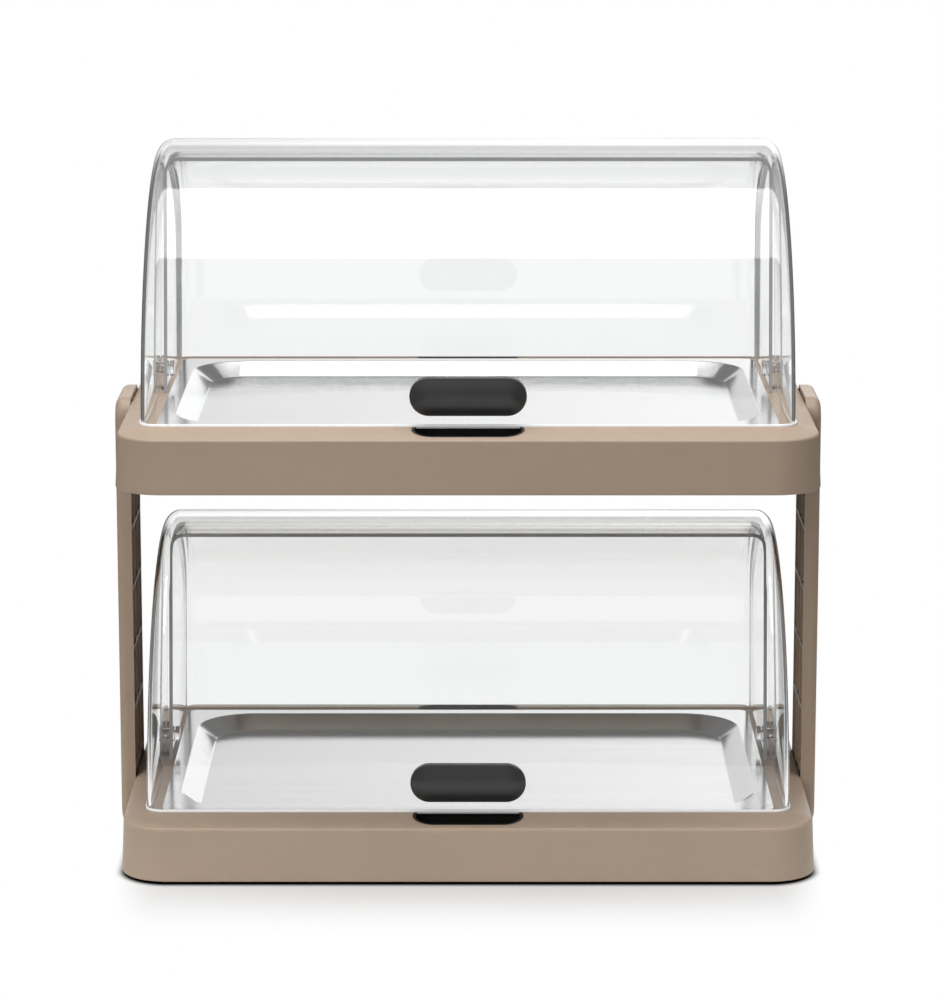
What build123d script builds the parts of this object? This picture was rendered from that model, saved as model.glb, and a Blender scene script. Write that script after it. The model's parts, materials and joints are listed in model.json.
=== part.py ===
from build123d import *
import os
from math import cos, radians, sin, sqrt, tan

# Two-tier roll-top food display, chilled by cold packs under its trays. All sizes are in millimetres.
# X runs across the width, Y runs to the back and Z runs up. The origin is on the floor, under the middle.

# Stack of the two tiers
tier_pitch = 248.0
foot_drop = 1.5

# Moulded base
base_width = 440.0
base_depth = 320.0
base_corner_radius = 30.0
base_side_height = 34.5
base_draft = 2.5
base_wall = 2.8
rim_rise = 4.0
rim_edge_radius = 2.0
base_bottom_radius = 1.2
ledge_depth = 1.3
well_side_margin = 32.0
well_end_gap = 5.0
well_corner_radius = 14.0
well_floor_height = 6.0
well_floor_thickness = 2.6
base_rib_thickness = 2.0
base_rib_pitch = 62.0
floor_rib_height = 1.8
floor_ribs_each_side = 2

# Finger recess in the front and rear rims
recess_width = 70.0
recess_depth = 27.0
recess_outer_margin = 7.0
recess_cup_depth = 22.0
recess_cup_wall = 1.6

# Roll-top covers, turned about one line through both side pivots
pivot_back = 17.0
pivot_rise = 12.8
cover_side_margin = 15.7
cover_end_margin = 26.5
cover_radial_gap = 6.2
cover_wall = 2.3
cover_draft = 0.7
front_cover_edge_radius = 11.0
rear_cover_edge_radius = 12.5
foot_bead = 0.8
foot_bead_height = 2.6
front_cover_trailing_angle = 93.0
rear_cover_leading_angle = 81.5
rear_wall_inset = 2.0
rear_blend_radius = 45.0

# Side pivots
pivot_lug_radius = 12.0
pivot_pin_radius = 2.5
pivot_cap_radius = 8.0
pivot_cap_thickness = 2.0
pivot_head_radius = 5.2
pivot_head_thickness = 2.8
pivot_edge_radius = 0.8
bracket_width = 17.0
bracket_thickness = 2.4
bracket_peg_depth = 4.0
bracket_play = 0.8

# Handle plate and its backing
handle_width = 73.0
handle_height = 24.4
handle_rise = 7.9
handle_depth = 7.5
handle_crown = 2.6
backing_width = 56.0
backing_height = 15.0
backing_thickness = 2.2
handle_screw_spacing = 36.0
handle_screw_radius = 1.5
handle_screw_head_radius = 3.0
handle_screw_head_thickness = 1.5
handle_screw_bite = 4.0

# Stainless tray
tray_side_gap = 1.7
tray_end_gap = 1.2
tray_corner_radius = 8.0
tray_sheet = 0.8
tray_depth = 9.0
dish_gap = 3.0
dish_corner_radius = 38.0
dish_wall_run = 12.0
dish_floor_radius = 2.5
dish_lip_radius = 1.5

# Cold packs
pack_side_gap = 5.7
pack_end_gap = 5.0
pack_top_gap = 3.2
pack_corner_radius = 14.0
pack_edge_radius = 5.0
pack_panel_depth = 1.5
pack_panel_margin = 16.0
pack_cap_radius = 11.0
pack_cap_height = 1.3
pack_cap_margin = 3.0
pack_neck_radius = 8.0
pack_neck_depth = 5.0

# Side posts
post_depth = 72.0
post_thickness = 9.8
post_foot_gap = 2.0
post_top_rise = 3.5
post_corner_radius = 14.0
post_outer_radius = 5.0
post_skin = 2.4
post_rib_thickness = 1.8
post_cell_height = 40.0
post_channels = 3
post_boss_radius = 4.2

# Fasteners of the posts
post_screw_half_spacing = 20.0
post_screw_height = 17.0
post_screw_radius = 1.6
post_screw_length = 9.0
post_screw_head_radius = 3.2
post_screw_head_thickness = 2.0

# Rubber feet
foot_side_margin = 20.0
foot_end_margin = 22.0
foot_radius = 8.0
foot_pad_thickness = 2.4
foot_stem_radius = 2.6
foot_stem_length = 5.0
foot_boss_radius = 9.5
foot_edge_radius = 0.6

# Clearances
running_clearance = 0.3
fit_clearance = 0.15
pin_clearance = 0.08
cut_margin = 5.0
edge_tolerance = 0.01

# Levels that follow from the sizes above
rim_top = base_side_height + rim_rise
ledge_height = rim_top - ledge_depth
cover_foot_height = ledge_height + running_clearance
pivot_height = ledge_height + pivot_rise
tray_top = ledge_height + tray_sheet
tray_floor = tray_top - tray_depth
pack_top = tray_floor - tray_sheet - pack_top_gap

# Covers inside the rim, one inside the other
front_cover_half_width = base_width / 2 - cover_side_margin
front_cover_front = cover_end_margin - base_depth / 2
front_cover_radius = pivot_back - front_cover_front
bracket_gap = running_clearance + bracket_thickness + bracket_play
rear_cover_half_width = front_cover_half_width - cover_wall - bracket_gap
rear_cover_radius = front_cover_radius - cover_wall - cover_radial_gap
rear_wall_back = -front_cover_front - rear_wall_inset

# Base: rim opening round the covers, finger recesses and the well between them
edge_inset = base_side_height * tan(radians(base_draft))
rim_open_half_width = front_cover_half_width + foot_bead + running_clearance
rim_open_half_depth = foot_bead + running_clearance - front_cover_front
rim_open_radius = front_cover_edge_radius + foot_bead
recess_centre_y = recess_depth / 2 + recess_outer_margin - base_depth / 2
well_half_width = base_width / 2 - well_side_margin
well_half_depth = base_depth / 2 - recess_outer_margin - recess_depth - well_end_gap
post_inner_x = base_width / 2 - edge_inset
foot_x = base_width / 2 - foot_side_margin
foot_y = base_depth / 2 - foot_end_margin

# Tray inside the rear cover, and cold packs inside the well
tray_half_width = rear_cover_half_width - cover_wall - tray_side_gap
tray_half_depth = rear_wall_back - cover_wall - tray_end_gap
dish_half_width = well_half_width - dish_gap
dish_half_depth = well_half_depth - dish_gap
pack_width = well_half_width - pack_side_gap - running_clearance
pack_depth = 2 * (well_half_depth - pack_end_gap)
pack_cap_inset = pack_panel_margin + pack_cap_radius + pack_cap_margin


def rounded_prism(width, depth, radius, bottom, top):
    """Upright prism with rounded corners, centred on the Z axis."""
    return Pos(0, 0, bottom) * extrude(RectangleRounded(width, depth, radius), amount=top - bottom)


def block(x_low, x_high, y_low, y_high, z_low, z_high):
    """Plain block between two corners."""
    size = Box(x_high - x_low, y_high - y_low, z_high - z_low)
    return Pos((x_low + x_high) / 2, (y_low + y_high) / 2, (z_low + z_high) / 2) * size


def rod_x(radius, x_low, x_high, y, z):
    """Round bar along X."""
    return Pos(x_low, y, z) * Rot(0, 90, 0) * extrude(Circle(radius), amount=x_high - x_low)


def rod_y(radius, y_low, y_high, x, z):
    """Round bar along Y."""
    return Pos(x, y_high, z) * Rot(90, 0, 0) * extrude(Circle(radius), amount=y_high - y_low)


def rod_z(radius, z_low, z_high, x, y):
    """Round bar along Z."""
    return Pos(x, y, z_low) * extrude(Circle(radius), amount=z_high - z_low)


def slot_y(width, height, y_low, y_high, z):
    """Bar along Y with a pill-shaped outline."""
    return Pos(0, y_high, z) * Rot(90, 0, 0) * extrude(SlotOverall(width, height), amount=y_high - y_low)


def edges_at_height(shape, height):
    """Edges that lie flat at one height."""
    return shape.edges().filter_by(
        lambda edge: abs(edge.bounding_box().min.Z - height) < edge_tolerance
        and abs(edge.bounding_box().max.Z - height) < edge_tolerance
    )


# Base

def base_envelope():
    """Drafted sides with a rim that climbs to the cover, and the ledge that the covers stand on."""
    outline = RectangleRounded(base_width, base_depth, base_corner_radius)
    sides = extrude(outline, amount=base_side_height, taper=base_draft)
    rim_foot = Pos(0, 0, base_side_height) * RectangleRounded(
        base_width - 2 * edge_inset, base_depth - 2 * edge_inset, base_corner_radius - edge_inset
    )
    rim_head = Pos(0, 0, rim_top) * RectangleRounded(
        2 * rim_open_half_width, 2 * rim_open_half_depth, rim_open_radius
    )
    body = sides + loft([rim_foot, rim_head], ruled=True)
    body = fillet(edges_at_height(body, base_side_height), rim_edge_radius)
    body = fillet(edges_at_height(body, 0), base_bottom_radius)
    ledge_cut = rounded_prism(
        2 * rim_open_half_width,
        2 * rim_open_half_depth,
        rim_open_radius,
        ledge_height,
        rim_top + cut_margin,
    )
    return body - ledge_cut


def recess_prism(offset, bottom, side):
    """Upright pill in the front rim (side -1) or the rear rim (side 1)."""
    pill = SlotOverall(recess_width + 2 * offset, recess_depth + 2 * offset)
    return Pos(0, -side * recess_centre_y, bottom) * extrude(pill, amount=rim_top + cut_margin - bottom)


def base_underside():
    """Hollow under the rim, around the well."""
    roof = base_side_height - base_wall
    outline = RectangleRounded(
        base_width - 2 * base_wall, base_depth - 2 * base_wall, base_corner_radius - base_wall
    )
    hollow = extrude(outline, amount=roof, taper=base_draft)
    well_block = rounded_prism(
        2 * (well_half_width + base_wall),
        2 * (well_half_depth + base_wall),
        well_corner_radius + base_wall,
        -cut_margin,
        roof + cut_margin,
    )
    return hollow - well_block


def base_ribs():
    """Stiffening ribs between the outer wall and the well, in a row along each side."""
    ribs = []
    count_x = int((well_half_width - base_rib_pitch / 4) // base_rib_pitch)
    count_y = int((well_half_depth - base_rib_pitch / 4) // base_rib_pitch)
    half = base_rib_thickness / 2
    roof = base_side_height - base_wall / 2
    for index in range(-count_x, count_x + 1):
        x = index * base_rib_pitch
        ribs.append(block(x - half, x + half, -base_depth / 2, base_depth / 2, base_wall, roof))
    for index in range(-count_y, count_y + 1):
        y = index * base_rib_pitch
        ribs.append(block(-base_width / 2, base_width / 2, y - half, y + half, base_wall, roof))
    return ribs


def under_floor_hollow():
    """Shallow hollow under the well floor, with a few ribs left across it."""
    top = well_floor_height - well_floor_thickness
    hollow = rounded_prism(
        2 * (well_half_width - base_wall),
        2 * (well_half_depth - base_wall),
        well_corner_radius,
        -cut_margin,
        top,
    )
    half = base_rib_thickness / 2
    ribs = []
    for index in range(-floor_ribs_each_side, floor_ribs_each_side + 1):
        x = index * base_rib_pitch
        ribs.append(block(x - half, x + half, -base_depth / 2, base_depth / 2, top - floor_rib_height, top))
    return hollow - ribs


def post_screw_places():
    """Side (-1 or 1), Y and Z of the screws that hold the posts to one base."""
    depths = (-post_screw_half_spacing, post_screw_half_spacing)
    return [(side, y, post_screw_height) for side in (-1, 1) for y in depths]


def foot_places():
    """X and Y of the four feet."""
    return [(x, y) for x in (-foot_x, foot_x) for y in (-foot_y, foot_y)]


def base_shell():
    """Moulded base: rim, ledge, well for the cold packs, ribbed hollow below, bosses and seats."""
    envelope = base_envelope()
    shell = envelope - (base_underside() - base_ribs())
    shell = shell - rounded_prism(
        2 * well_half_width,
        2 * well_half_depth,
        well_corner_radius,
        well_floor_height,
        rim_top + cut_margin,
    )
    shell = shell - under_floor_hollow()
    for side in (-1, 1):
        cup_bottom = rim_top - recess_cup_depth
        shell = shell + (recess_prism(base_wall, cup_bottom - base_wall, side) & envelope)
        shell = shell - recess_prism(fit_clearance, cup_bottom - fit_clearance, side)
    pad_top = foot_pad_thickness - foot_drop
    for x, y in foot_places():
        shell = shell + rod_z(foot_boss_radius, pad_top, base_side_height - base_wall / 2, x, y)
        shell = shell - rod_z(foot_stem_radius + fit_clearance, 0, pad_top + foot_stem_length, x, y)
    pocket_half = post_depth / 2 + fit_clearance
    for side in (-1, 1):
        low, high = span(side, post_inner_x, post_inner_x + post_thickness)
        shell = shell - block(low, high, -pocket_half, pocket_half, -cut_margin, rim_top + cut_margin)
        shell = shell - bracket_peg(side, fit_clearance)
    for side, y, z in post_screw_places():
        low, high = span(side, well_half_width + base_wall, base_width / 2)
        shell = shell - rod_x(post_screw_radius + fit_clearance, low, high, y, z)
    return shell


def span(side, inner, outer):
    """Low and high X of a stretch that lies from inner to outer on one side of the middle."""
    return (inner, outer) if side > 0 else (-outer, -inner)


def recess_cup(side):
    """Black finger cup, flush with the rim and the ledge."""
    cup_bottom = rim_top - recess_cup_depth
    cup = recess_prism(0, cup_bottom, side) & base_envelope()
    return cup - recess_prism(-recess_cup_wall, cup_bottom + recess_cup_wall, side)


# Roll-top covers

def cover_width_limit(half_width):
    """Wedge with drafted sides that trims a cover to its width, widest at the foot."""
    height = front_cover_radius + pivot_height
    inset = height * tan(radians(cover_draft))
    reach = 4 * front_cover_radius
    low = Pos(0, 0, cover_foot_height) * Rectangle(2 * half_width, reach)
    high = Pos(0, 0, cover_foot_height + height) * Rectangle(2 * (half_width - inset), reach)
    below = rounded_prism(2 * half_width, reach, 1, cover_foot_height - 2 * cut_margin, cover_foot_height)
    return loft([low, high], ruled=True) + below


def front_profile(radius, foot):
    """Side outline of the front cover: upright to the pivot level, then an arc over the top."""
    front = pivot_back - radius
    back = pivot_back + radius
    crown = pivot_height + radius
    arc = ThreePointArc((front, pivot_height), (pivot_back, crown), (back, pivot_height))
    walls = Polyline((back, pivot_height), (back, foot), (front, foot), (front, pivot_height))
    return make_face([arc, *walls.edges()])


def rear_profile(radius, back, foot, blend):
    """Side outline of the rear cover: an arc over the top, blended into an upright back."""
    front = pivot_back - radius
    meet = pivot_height + sqrt(radius**2 - (back - pivot_back) ** 2)
    arc = ThreePointArc((front, pivot_height), (pivot_back, pivot_height + radius), (back, meet))
    walls = Polyline((back, meet), (back, foot), (front, foot), (front, pivot_height))
    outline = make_face([arc, *walls.edges()])
    corner = outline.vertices().sort_by_distance((back, meet))[0]
    return fillet(corner, blend)


def cover_body(profile, half_width, edge_radius, foot):
    """Solid block with a cover's side outline, drafted sides and rounded edges."""
    body = extrude(Plane.YZ * profile, amount=half_width, both=True) & cover_width_limit(half_width)
    side_edges = body.edges().filter_by(
        lambda edge: abs(edge.center().X) > half_width / 2
        and edge.bounding_box().size.X < half_width / 2
        and edge.bounding_box().max.Z > foot + edge_tolerance
    )
    return fillet(side_edges, edge_radius)


def front_body(offset, foot):
    """Solid block with the front cover's outline, grown by offset."""
    profile = front_profile(front_cover_radius + offset, foot)
    return cover_body(profile, front_cover_half_width + offset, front_cover_edge_radius + offset, foot)


def rear_body(offset, foot):
    """Solid block with the rear cover's outline, grown by offset."""
    radius = rear_cover_radius + offset
    profile = rear_profile(radius, rear_wall_back + offset, foot, rear_blend_radius + offset)
    return cover_body(profile, rear_cover_half_width + offset, rear_cover_edge_radius + offset, foot)


def trailing_cut(radius):
    """Prism that leaves only the front cover's side of its trailing edge and pivot lug."""
    angle = radians(front_cover_trailing_angle)
    along = (-cos(angle), sin(angle))
    across = (along[1], -along[0])
    reach = 2 * radius
    lug_y = pivot_back + pivot_lug_radius * across[0]
    lug_z = pivot_height + pivot_lug_radius * across[1]
    far_y = lug_y + reach * along[0]
    far_z = lug_z + reach * along[1]
    keep = make_face(
        Polyline(
            (pivot_back, pivot_height - pivot_lug_radius - reach),
            (pivot_back, pivot_height),
            (lug_y, lug_z),
            (far_y, far_z),
            (pivot_back - reach, far_z),
            (pivot_back - reach, pivot_height - pivot_lug_radius - reach),
            close=True,
        )
    ) + Pos(pivot_back, pivot_height) * Circle(pivot_lug_radius)
    return extrude(Plane.YZ * keep, amount=2 * front_cover_half_width, both=True)


def pivot_bore():
    """Bore for both pivot pins, right across the display."""
    radius = pivot_pin_radius + pin_clearance
    return rod_x(radius, -base_width, base_width, pivot_back, pivot_height)


def front_cover():
    """Clear moving shell: drafted sides with pivot lugs, and a bead along its foot."""
    foot = cover_foot_height
    inner_foot = foot - cut_margin
    outer = front_body(0, foot)
    bead_slab = block(-base_width, base_width, -base_depth, base_depth, foot, foot + foot_bead_height)
    shell = (outer + (front_body(foot_bead, foot) & bead_slab)) - front_body(-cover_wall, inner_foot)
    shell = shell & trailing_cut(front_cover_radius)
    shell = shell - pivot_bore()
    for x in (-handle_screw_spacing / 2, handle_screw_spacing / 2):
        z = pivot_height + handle_rise
        shell = shell - rod_y(handle_screw_radius + fit_clearance, -base_depth, 0, x, z)
    return shell


def rear_cover():
    """Clear fixed shell inside the front cover."""
    shell = rear_body(0, cover_foot_height) - rear_body(-cover_wall, cover_foot_height - cut_margin)
    leading_edge = pivot_back - rear_cover_radius * cos(radians(rear_cover_leading_angle))
    shell = shell & block(-base_width, base_width, leading_edge, base_depth, 0, 2 * rear_cover_radius)
    return shell - pivot_bore()


# Side pivots

bracket_inner_x = rear_cover_half_width + running_clearance


def bracket_peg(side, clearance):
    """Peg that seats a pivot bracket in the ledge."""
    low, high = span(side, bracket_inner_x - clearance, bracket_inner_x + bracket_thickness + clearance)
    half = bracket_width / 4 + clearance
    bottom = ledge_height - bracket_peg_depth - clearance
    return block(low, high, pivot_back - half, pivot_back + half, bottom, ledge_height)


def pivot_bracket(side):
    """Clear upright with a round head, between the two covers."""
    half = bracket_width / 2
    crown = Pos(pivot_back, pivot_height) * Circle(half)
    stem_height = pivot_height - ledge_height
    stem = Pos(pivot_back, ledge_height + stem_height / 2) * Rectangle(bracket_width, stem_height)
    low, high = span(side, bracket_inner_x, bracket_inner_x + bracket_thickness)
    plate = Pos(low, 0, 0) * extrude(Plane.YZ * (crown + stem), amount=high - low) + bracket_peg(side, 0)
    return plate - pivot_bore()


def rounded_end(disc, x):
    """Disc along X with its rim at one X rounded."""
    rim = disc.edges().filter_by(lambda edge: abs(edge.center().X - x) < edge_tolerance)
    return fillet(rim, pivot_edge_radius)


def pivot_pin(side):
    """Headed pin with a round cap outside the front cover and a head inside the rear cover."""
    slack = 2 * running_clearance
    cap_face = front_cover_half_width + slack / 2
    head_face = rear_cover_half_width - cover_wall - slack
    cap_end = cap_face + pivot_cap_thickness
    head_end = head_face - pivot_head_thickness
    shank = rod_x(pivot_pin_radius, *span(side, head_face, cap_face), pivot_back, pivot_height)
    cap = rod_x(pivot_cap_radius, *span(side, cap_face, cap_end), pivot_back, pivot_height)
    head = rod_x(pivot_head_radius, *span(side, head_end, head_face), pivot_back, pivot_height)
    return shank + rounded_end(cap, side * cap_end) + rounded_end(head, side * head_end)


# Handle

def handle():
    """Pill-shaped plate with a crowned face, bedded on the curve of the front cover."""
    face_y = front_cover_front - handle_depth
    z = pivot_height + handle_rise
    plate = slot_y(handle_width, handle_height, face_y, front_cover_front + cover_wall, z)
    face_limit = face_y + edge_tolerance
    face_edges = plate.edges().filter_by(lambda edge: edge.bounding_box().max.Y < face_limit)
    plate = fillet(face_edges, handle_crown)
    bed_radius = front_cover_radius + fit_clearance
    plate = plate - rod_x(bed_radius, -handle_width, handle_width, pivot_back, pivot_height)
    depth = handle_screw_bite + fit_clearance
    for x in (-handle_screw_spacing / 2, handle_screw_spacing / 2):
        plate = plate - rod_y(handle_screw_radius, front_cover_front - depth, pivot_back, x, z)
    return plate


def handle_backing():
    """Plate inside the cover that the handle's screws clamp."""
    z = pivot_height + handle_rise
    inner_radius = front_cover_radius - cover_wall - fit_clearance
    inner_face = pivot_back - inner_radius + backing_thickness
    bar = slot_y(backing_width, backing_height, front_cover_front, inner_face, z)
    plate = bar & rod_x(inner_radius, -backing_width, backing_width, pivot_back, pivot_height)
    for x in (-handle_screw_spacing / 2, handle_screw_spacing / 2):
        plate = plate - rod_y(handle_screw_radius + fit_clearance, -base_depth, 0, x, z)
    return plate


def handle_screws():
    """Two screws driven from inside the cover."""
    z = pivot_height + handle_rise
    head_y = pivot_back - (front_cover_radius - cover_wall - fit_clearance) + backing_thickness
    screws = []
    for x in (-handle_screw_spacing / 2, handle_screw_spacing / 2):
        shank = rod_y(handle_screw_radius, front_cover_front - handle_screw_bite, head_y, x, z)
        head = rod_y(handle_screw_head_radius, head_y, head_y + handle_screw_head_thickness, x, z)
        screws.append(shank + head)
    return Part() + screws


# Tray and cold packs

def dish(offset, extra):
    """Space inside the tray: sloped walls down to a flat floor, grown by offset."""
    floor = tray_floor - offset
    head = Pos(0, 0, tray_top) * RectangleRounded(
        2 * (dish_half_width + offset), 2 * (dish_half_depth + offset), dish_corner_radius + offset
    )
    base = Pos(0, 0, floor) * RectangleRounded(
        2 * (dish_half_width + offset - dish_wall_run),
        2 * (dish_half_depth + offset - dish_wall_run),
        dish_corner_radius + offset - dish_wall_run,
    )
    solid = loft([base, head], ruled=True)
    solid = fillet(edges_at_height(solid, floor), dish_floor_radius + offset)
    if extra:
        width, depth = 2 * dish_half_width, 2 * dish_half_depth
        solid = solid + rounded_prism(width, depth, dish_corner_radius, tray_top, tray_top + extra)
    return solid


def tray():
    """Pressed sheet tray: flat flange, sloped walls and a flat floor."""
    width, depth = 2 * tray_half_width, 2 * tray_half_depth
    flange = rounded_prism(width, depth, tray_corner_radius, ledge_height, tray_top)
    sheet = (flange + dish(tray_sheet, 0)) - dish(0, cut_margin)
    lip = edges_at_height(sheet, tray_top).filter_by(
        lambda edge: abs(edge.center().X) < dish_half_width + edge_tolerance
        and abs(edge.center().Y) < dish_half_depth + edge_tolerance
    )
    return fillet(lip, dish_lip_radius)


def pack_middle(side):
    """X of one cold pack's middle; the two packs lie side by side."""
    return side * (pack_width / 2 + running_clearance)


def pack_cap_place(side):
    """X and Y of one cold pack's filler cap, near its outer rear corner."""
    return pack_middle(side) + side * (pack_width / 2 - pack_cap_inset), pack_depth / 2 - pack_cap_inset


def cold_pack(side):
    """Sealed plastic pack with rounded edges, a sunk panel and a neck for its cap."""
    panel_floor = pack_top - pack_panel_depth
    body = rounded_prism(pack_width, pack_depth, pack_corner_radius, well_floor_height, pack_top)
    rims = edges_at_height(body, well_floor_height) + edges_at_height(body, pack_top)
    body = fillet(rims, pack_edge_radius)
    body = body - rounded_prism(
        pack_width - 2 * pack_panel_margin,
        pack_depth - 2 * pack_panel_margin,
        pack_corner_radius,
        panel_floor,
        pack_top + cut_margin,
    )
    x, y = pack_cap_place(side)
    neck_floor = panel_floor - pack_neck_depth - fit_clearance
    neck = rod_z(pack_neck_radius + fit_clearance, neck_floor, pack_top, x, y)
    return Pos(pack_middle(side), 0, 0) * body - neck


def cold_pack_cap(side):
    """Screw cap: a flat head on the sunk panel and a plug in the neck."""
    panel_floor = pack_top - pack_panel_depth
    x, y = pack_cap_place(side)
    head = rod_z(pack_cap_radius, panel_floor, panel_floor + pack_cap_height, x, y)
    return head + rod_z(pack_neck_radius, panel_floor - pack_neck_depth, panel_floor, x, y)


# Side posts

post_top = tier_pitch + base_side_height + post_top_rise
post_bottom = post_foot_gap - foot_drop


def post_outline(inset):
    """Side outline of a post, drawn in by inset."""
    height = post_top - post_bottom
    middle = (post_top + post_bottom) / 2
    corner = post_corner_radius - inset
    return Pos(0, middle) * RectangleRounded(post_depth - 2 * inset, height - 2 * inset, corner)


def side_post(side):
    """Panel with a smooth outer skin and a lattice of ribs on its inner face."""
    panel = extrude(Plane.YZ * post_outline(0), amount=post_thickness)
    skin_face = post_thickness - edge_tolerance
    outer_edges = panel.edges().filter_by(lambda edge: edge.bounding_box().min.X > skin_face)
    panel = fillet(outer_edges, post_outer_radius)
    hollow = extrude(Plane.YZ * post_outline(post_skin), amount=post_thickness - post_skin)
    half = post_rib_thickness / 2
    channel = post_depth / post_channels
    ribs = []
    for index in range(1, post_channels):
        y = index * channel - post_depth / 2
        ribs.append(block(0, post_thickness, y - half, y + half, post_bottom, post_top))
    for index in range(1, int((post_top - post_bottom) // post_cell_height) + 1):
        z = post_bottom + index * post_cell_height
        ribs.append(block(0, post_thickness, -post_depth / 2, post_depth / 2, z - half, z + half))
    screw_places = [
        (y, tier_z + post_screw_height)
        for tier_z in (0, tier_pitch)
        for y in (-post_screw_half_spacing, post_screw_half_spacing)
    ]
    for y, z in screw_places:
        ribs.append(rod_x(post_boss_radius, 0, post_thickness, y, z))
    panel = panel - (hollow - ribs)
    for y, z in screw_places:
        panel = panel - rod_x(post_screw_radius + fit_clearance, 0, post_thickness - post_skin, y, z)
    panel = Pos(post_inner_x, 0, 0) * panel
    return panel if side > 0 else mirror(panel, about=Plane.YZ)


def post_screws():
    """Four screws of one base, driven from its hollow through its sides into the posts."""
    head_face = post_inner_x - base_wall
    tip = head_face + post_screw_length
    screws = []
    for side, y, z in post_screw_places():
        shank = rod_x(post_screw_radius, *span(side, head_face, tip), y, z)
        low, high = span(side, head_face - post_screw_head_thickness, head_face)
        head = rod_x(post_screw_head_radius, low, high, y, z)
        screws.append(shank + head)
    return Part() + screws


def rubber_feet():
    """Four pads, each with a stem pressed into the base."""
    feet = []
    for x, y in foot_places():
        pad = rod_z(foot_radius, -foot_drop, foot_pad_thickness - foot_drop, x, y)
        pad = fillet(edges_at_height(pad, -foot_drop), foot_edge_radius)
        stem_top = foot_pad_thickness - foot_drop + foot_stem_length
        feet.append(pad + rod_z(foot_stem_radius, foot_pad_thickness - foot_drop, stem_top, x, y))
    return Part() + feet


# Assembly

def tier_pieces():
    """Every piece that both tiers have, by name, with the bottom edge of the base at height zero."""
    return {
        "base_shell": base_shell(),
        "front_recess_cup": recess_cup(-1),
        "rear_recess_cup": recess_cup(1),
        "tray": tray(),
        "cold_pack_left": cold_pack(-1),
        "cold_pack_right": cold_pack(1),
        "cold_pack_caps": cold_pack_cap(-1) + cold_pack_cap(1),
        "rear_cover": rear_cover(),
        "front_cover": front_cover(),
        "handle": handle(),
        "handle_backing": handle_backing(),
        "handle_screws": handle_screws(),
        "left_pivot_bracket": pivot_bracket(-1),
        "right_pivot_bracket": pivot_bracket(1),
        "left_pivot_pin": pivot_pin(-1),
        "right_pivot_pin": pivot_pin(1),
        "post_screws": post_screws(),
    }


def write(name, shape, height):
    """Write one piece with its tier's bottom edge at the given height above the floor."""
    export_step(Pos(0, 0, height) * shape, f"parts/{name}.step")


os.makedirs("parts", exist_ok=True)
for piece_name, piece in tier_pieces().items():
    write(f"lower_{piece_name}", piece, foot_drop)
    write(f"upper_{piece_name}", piece, foot_drop + tier_pitch)
write("left_side_post", side_post(-1), foot_drop)
write("right_side_post", side_post(1), foot_drop)
write("rubber_feet", rubber_feet(), foot_drop)
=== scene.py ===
import json
from math import asin, atan2, cos, degrees, pi, radians, sin, sqrt

import bmesh
import bpy
from mathutils import Euler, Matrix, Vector

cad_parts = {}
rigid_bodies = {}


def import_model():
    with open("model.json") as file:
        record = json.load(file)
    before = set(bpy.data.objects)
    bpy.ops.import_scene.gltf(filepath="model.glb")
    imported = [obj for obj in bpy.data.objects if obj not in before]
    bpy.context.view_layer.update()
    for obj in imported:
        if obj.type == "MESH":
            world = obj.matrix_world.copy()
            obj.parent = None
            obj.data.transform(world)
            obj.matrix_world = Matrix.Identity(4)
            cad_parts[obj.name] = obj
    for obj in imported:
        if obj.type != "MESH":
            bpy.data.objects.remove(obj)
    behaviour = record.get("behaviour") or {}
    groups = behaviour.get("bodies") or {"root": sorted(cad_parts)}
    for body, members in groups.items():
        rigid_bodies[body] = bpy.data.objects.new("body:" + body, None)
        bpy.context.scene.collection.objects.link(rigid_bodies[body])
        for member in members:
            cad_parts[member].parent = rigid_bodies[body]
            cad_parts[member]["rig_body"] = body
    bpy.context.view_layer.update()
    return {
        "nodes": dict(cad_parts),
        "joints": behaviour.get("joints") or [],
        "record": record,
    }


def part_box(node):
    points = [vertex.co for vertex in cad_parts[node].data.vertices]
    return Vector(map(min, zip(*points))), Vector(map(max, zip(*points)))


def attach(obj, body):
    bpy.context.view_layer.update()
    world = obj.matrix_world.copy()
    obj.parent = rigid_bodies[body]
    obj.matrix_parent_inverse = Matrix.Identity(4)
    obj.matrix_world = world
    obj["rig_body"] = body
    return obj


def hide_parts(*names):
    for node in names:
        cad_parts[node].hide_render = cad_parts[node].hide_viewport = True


bl_info = {
    "name": "Roll-Top Display Finishes",
    "version": (1, 0, 0),
    "blender": (4, 5, 0),
    "location": "View3D > Sidebar > Display",
    "description": "Finishes, small fittings and studio for a two-tier roll-top food display",
    "category": "Object",
}

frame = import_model()

TIERS = ("lower", "upper")
SIDES = ("left", "right")
LUG_STEP = radians(9)
HOLE_POINTS = 20
BEAD_GAP = 0.00001
DOME_REACH = 0.985
SENSOR_WIDTH = 36.0
FLOOR_REACH = 12.0


# Settings

def colour(name, description, default):
    """Setting for a colour."""
    return bpy.props.FloatVectorProperty(
        name=name, description=description, subtype="COLOR", default=default, min=0, max=1)


def length(name, description, default, **limits):
    """Setting for a length in metres."""
    return bpy.props.FloatProperty(
        name=name, description=description, default=default, unit="LENGTH", **limits)


def angle(name, description, default):
    """Setting for an angle."""
    return bpy.props.FloatProperty(name=name, description=description, default=default, subtype="ANGLE")


def share(name, description, default):
    """Setting between nought and one."""
    return bpy.props.FloatProperty(name=name, description=description, default=default, min=0, max=1)


def amount(name, description, default):
    """Setting that is never below nought."""
    return bpy.props.FloatProperty(name=name, description=description, default=default, min=0)


def count(name, description, default, **limits):
    """Setting for a number of pieces or steps."""
    return bpy.props.IntProperty(name=name, description=description, default=default, **limits)


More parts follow.
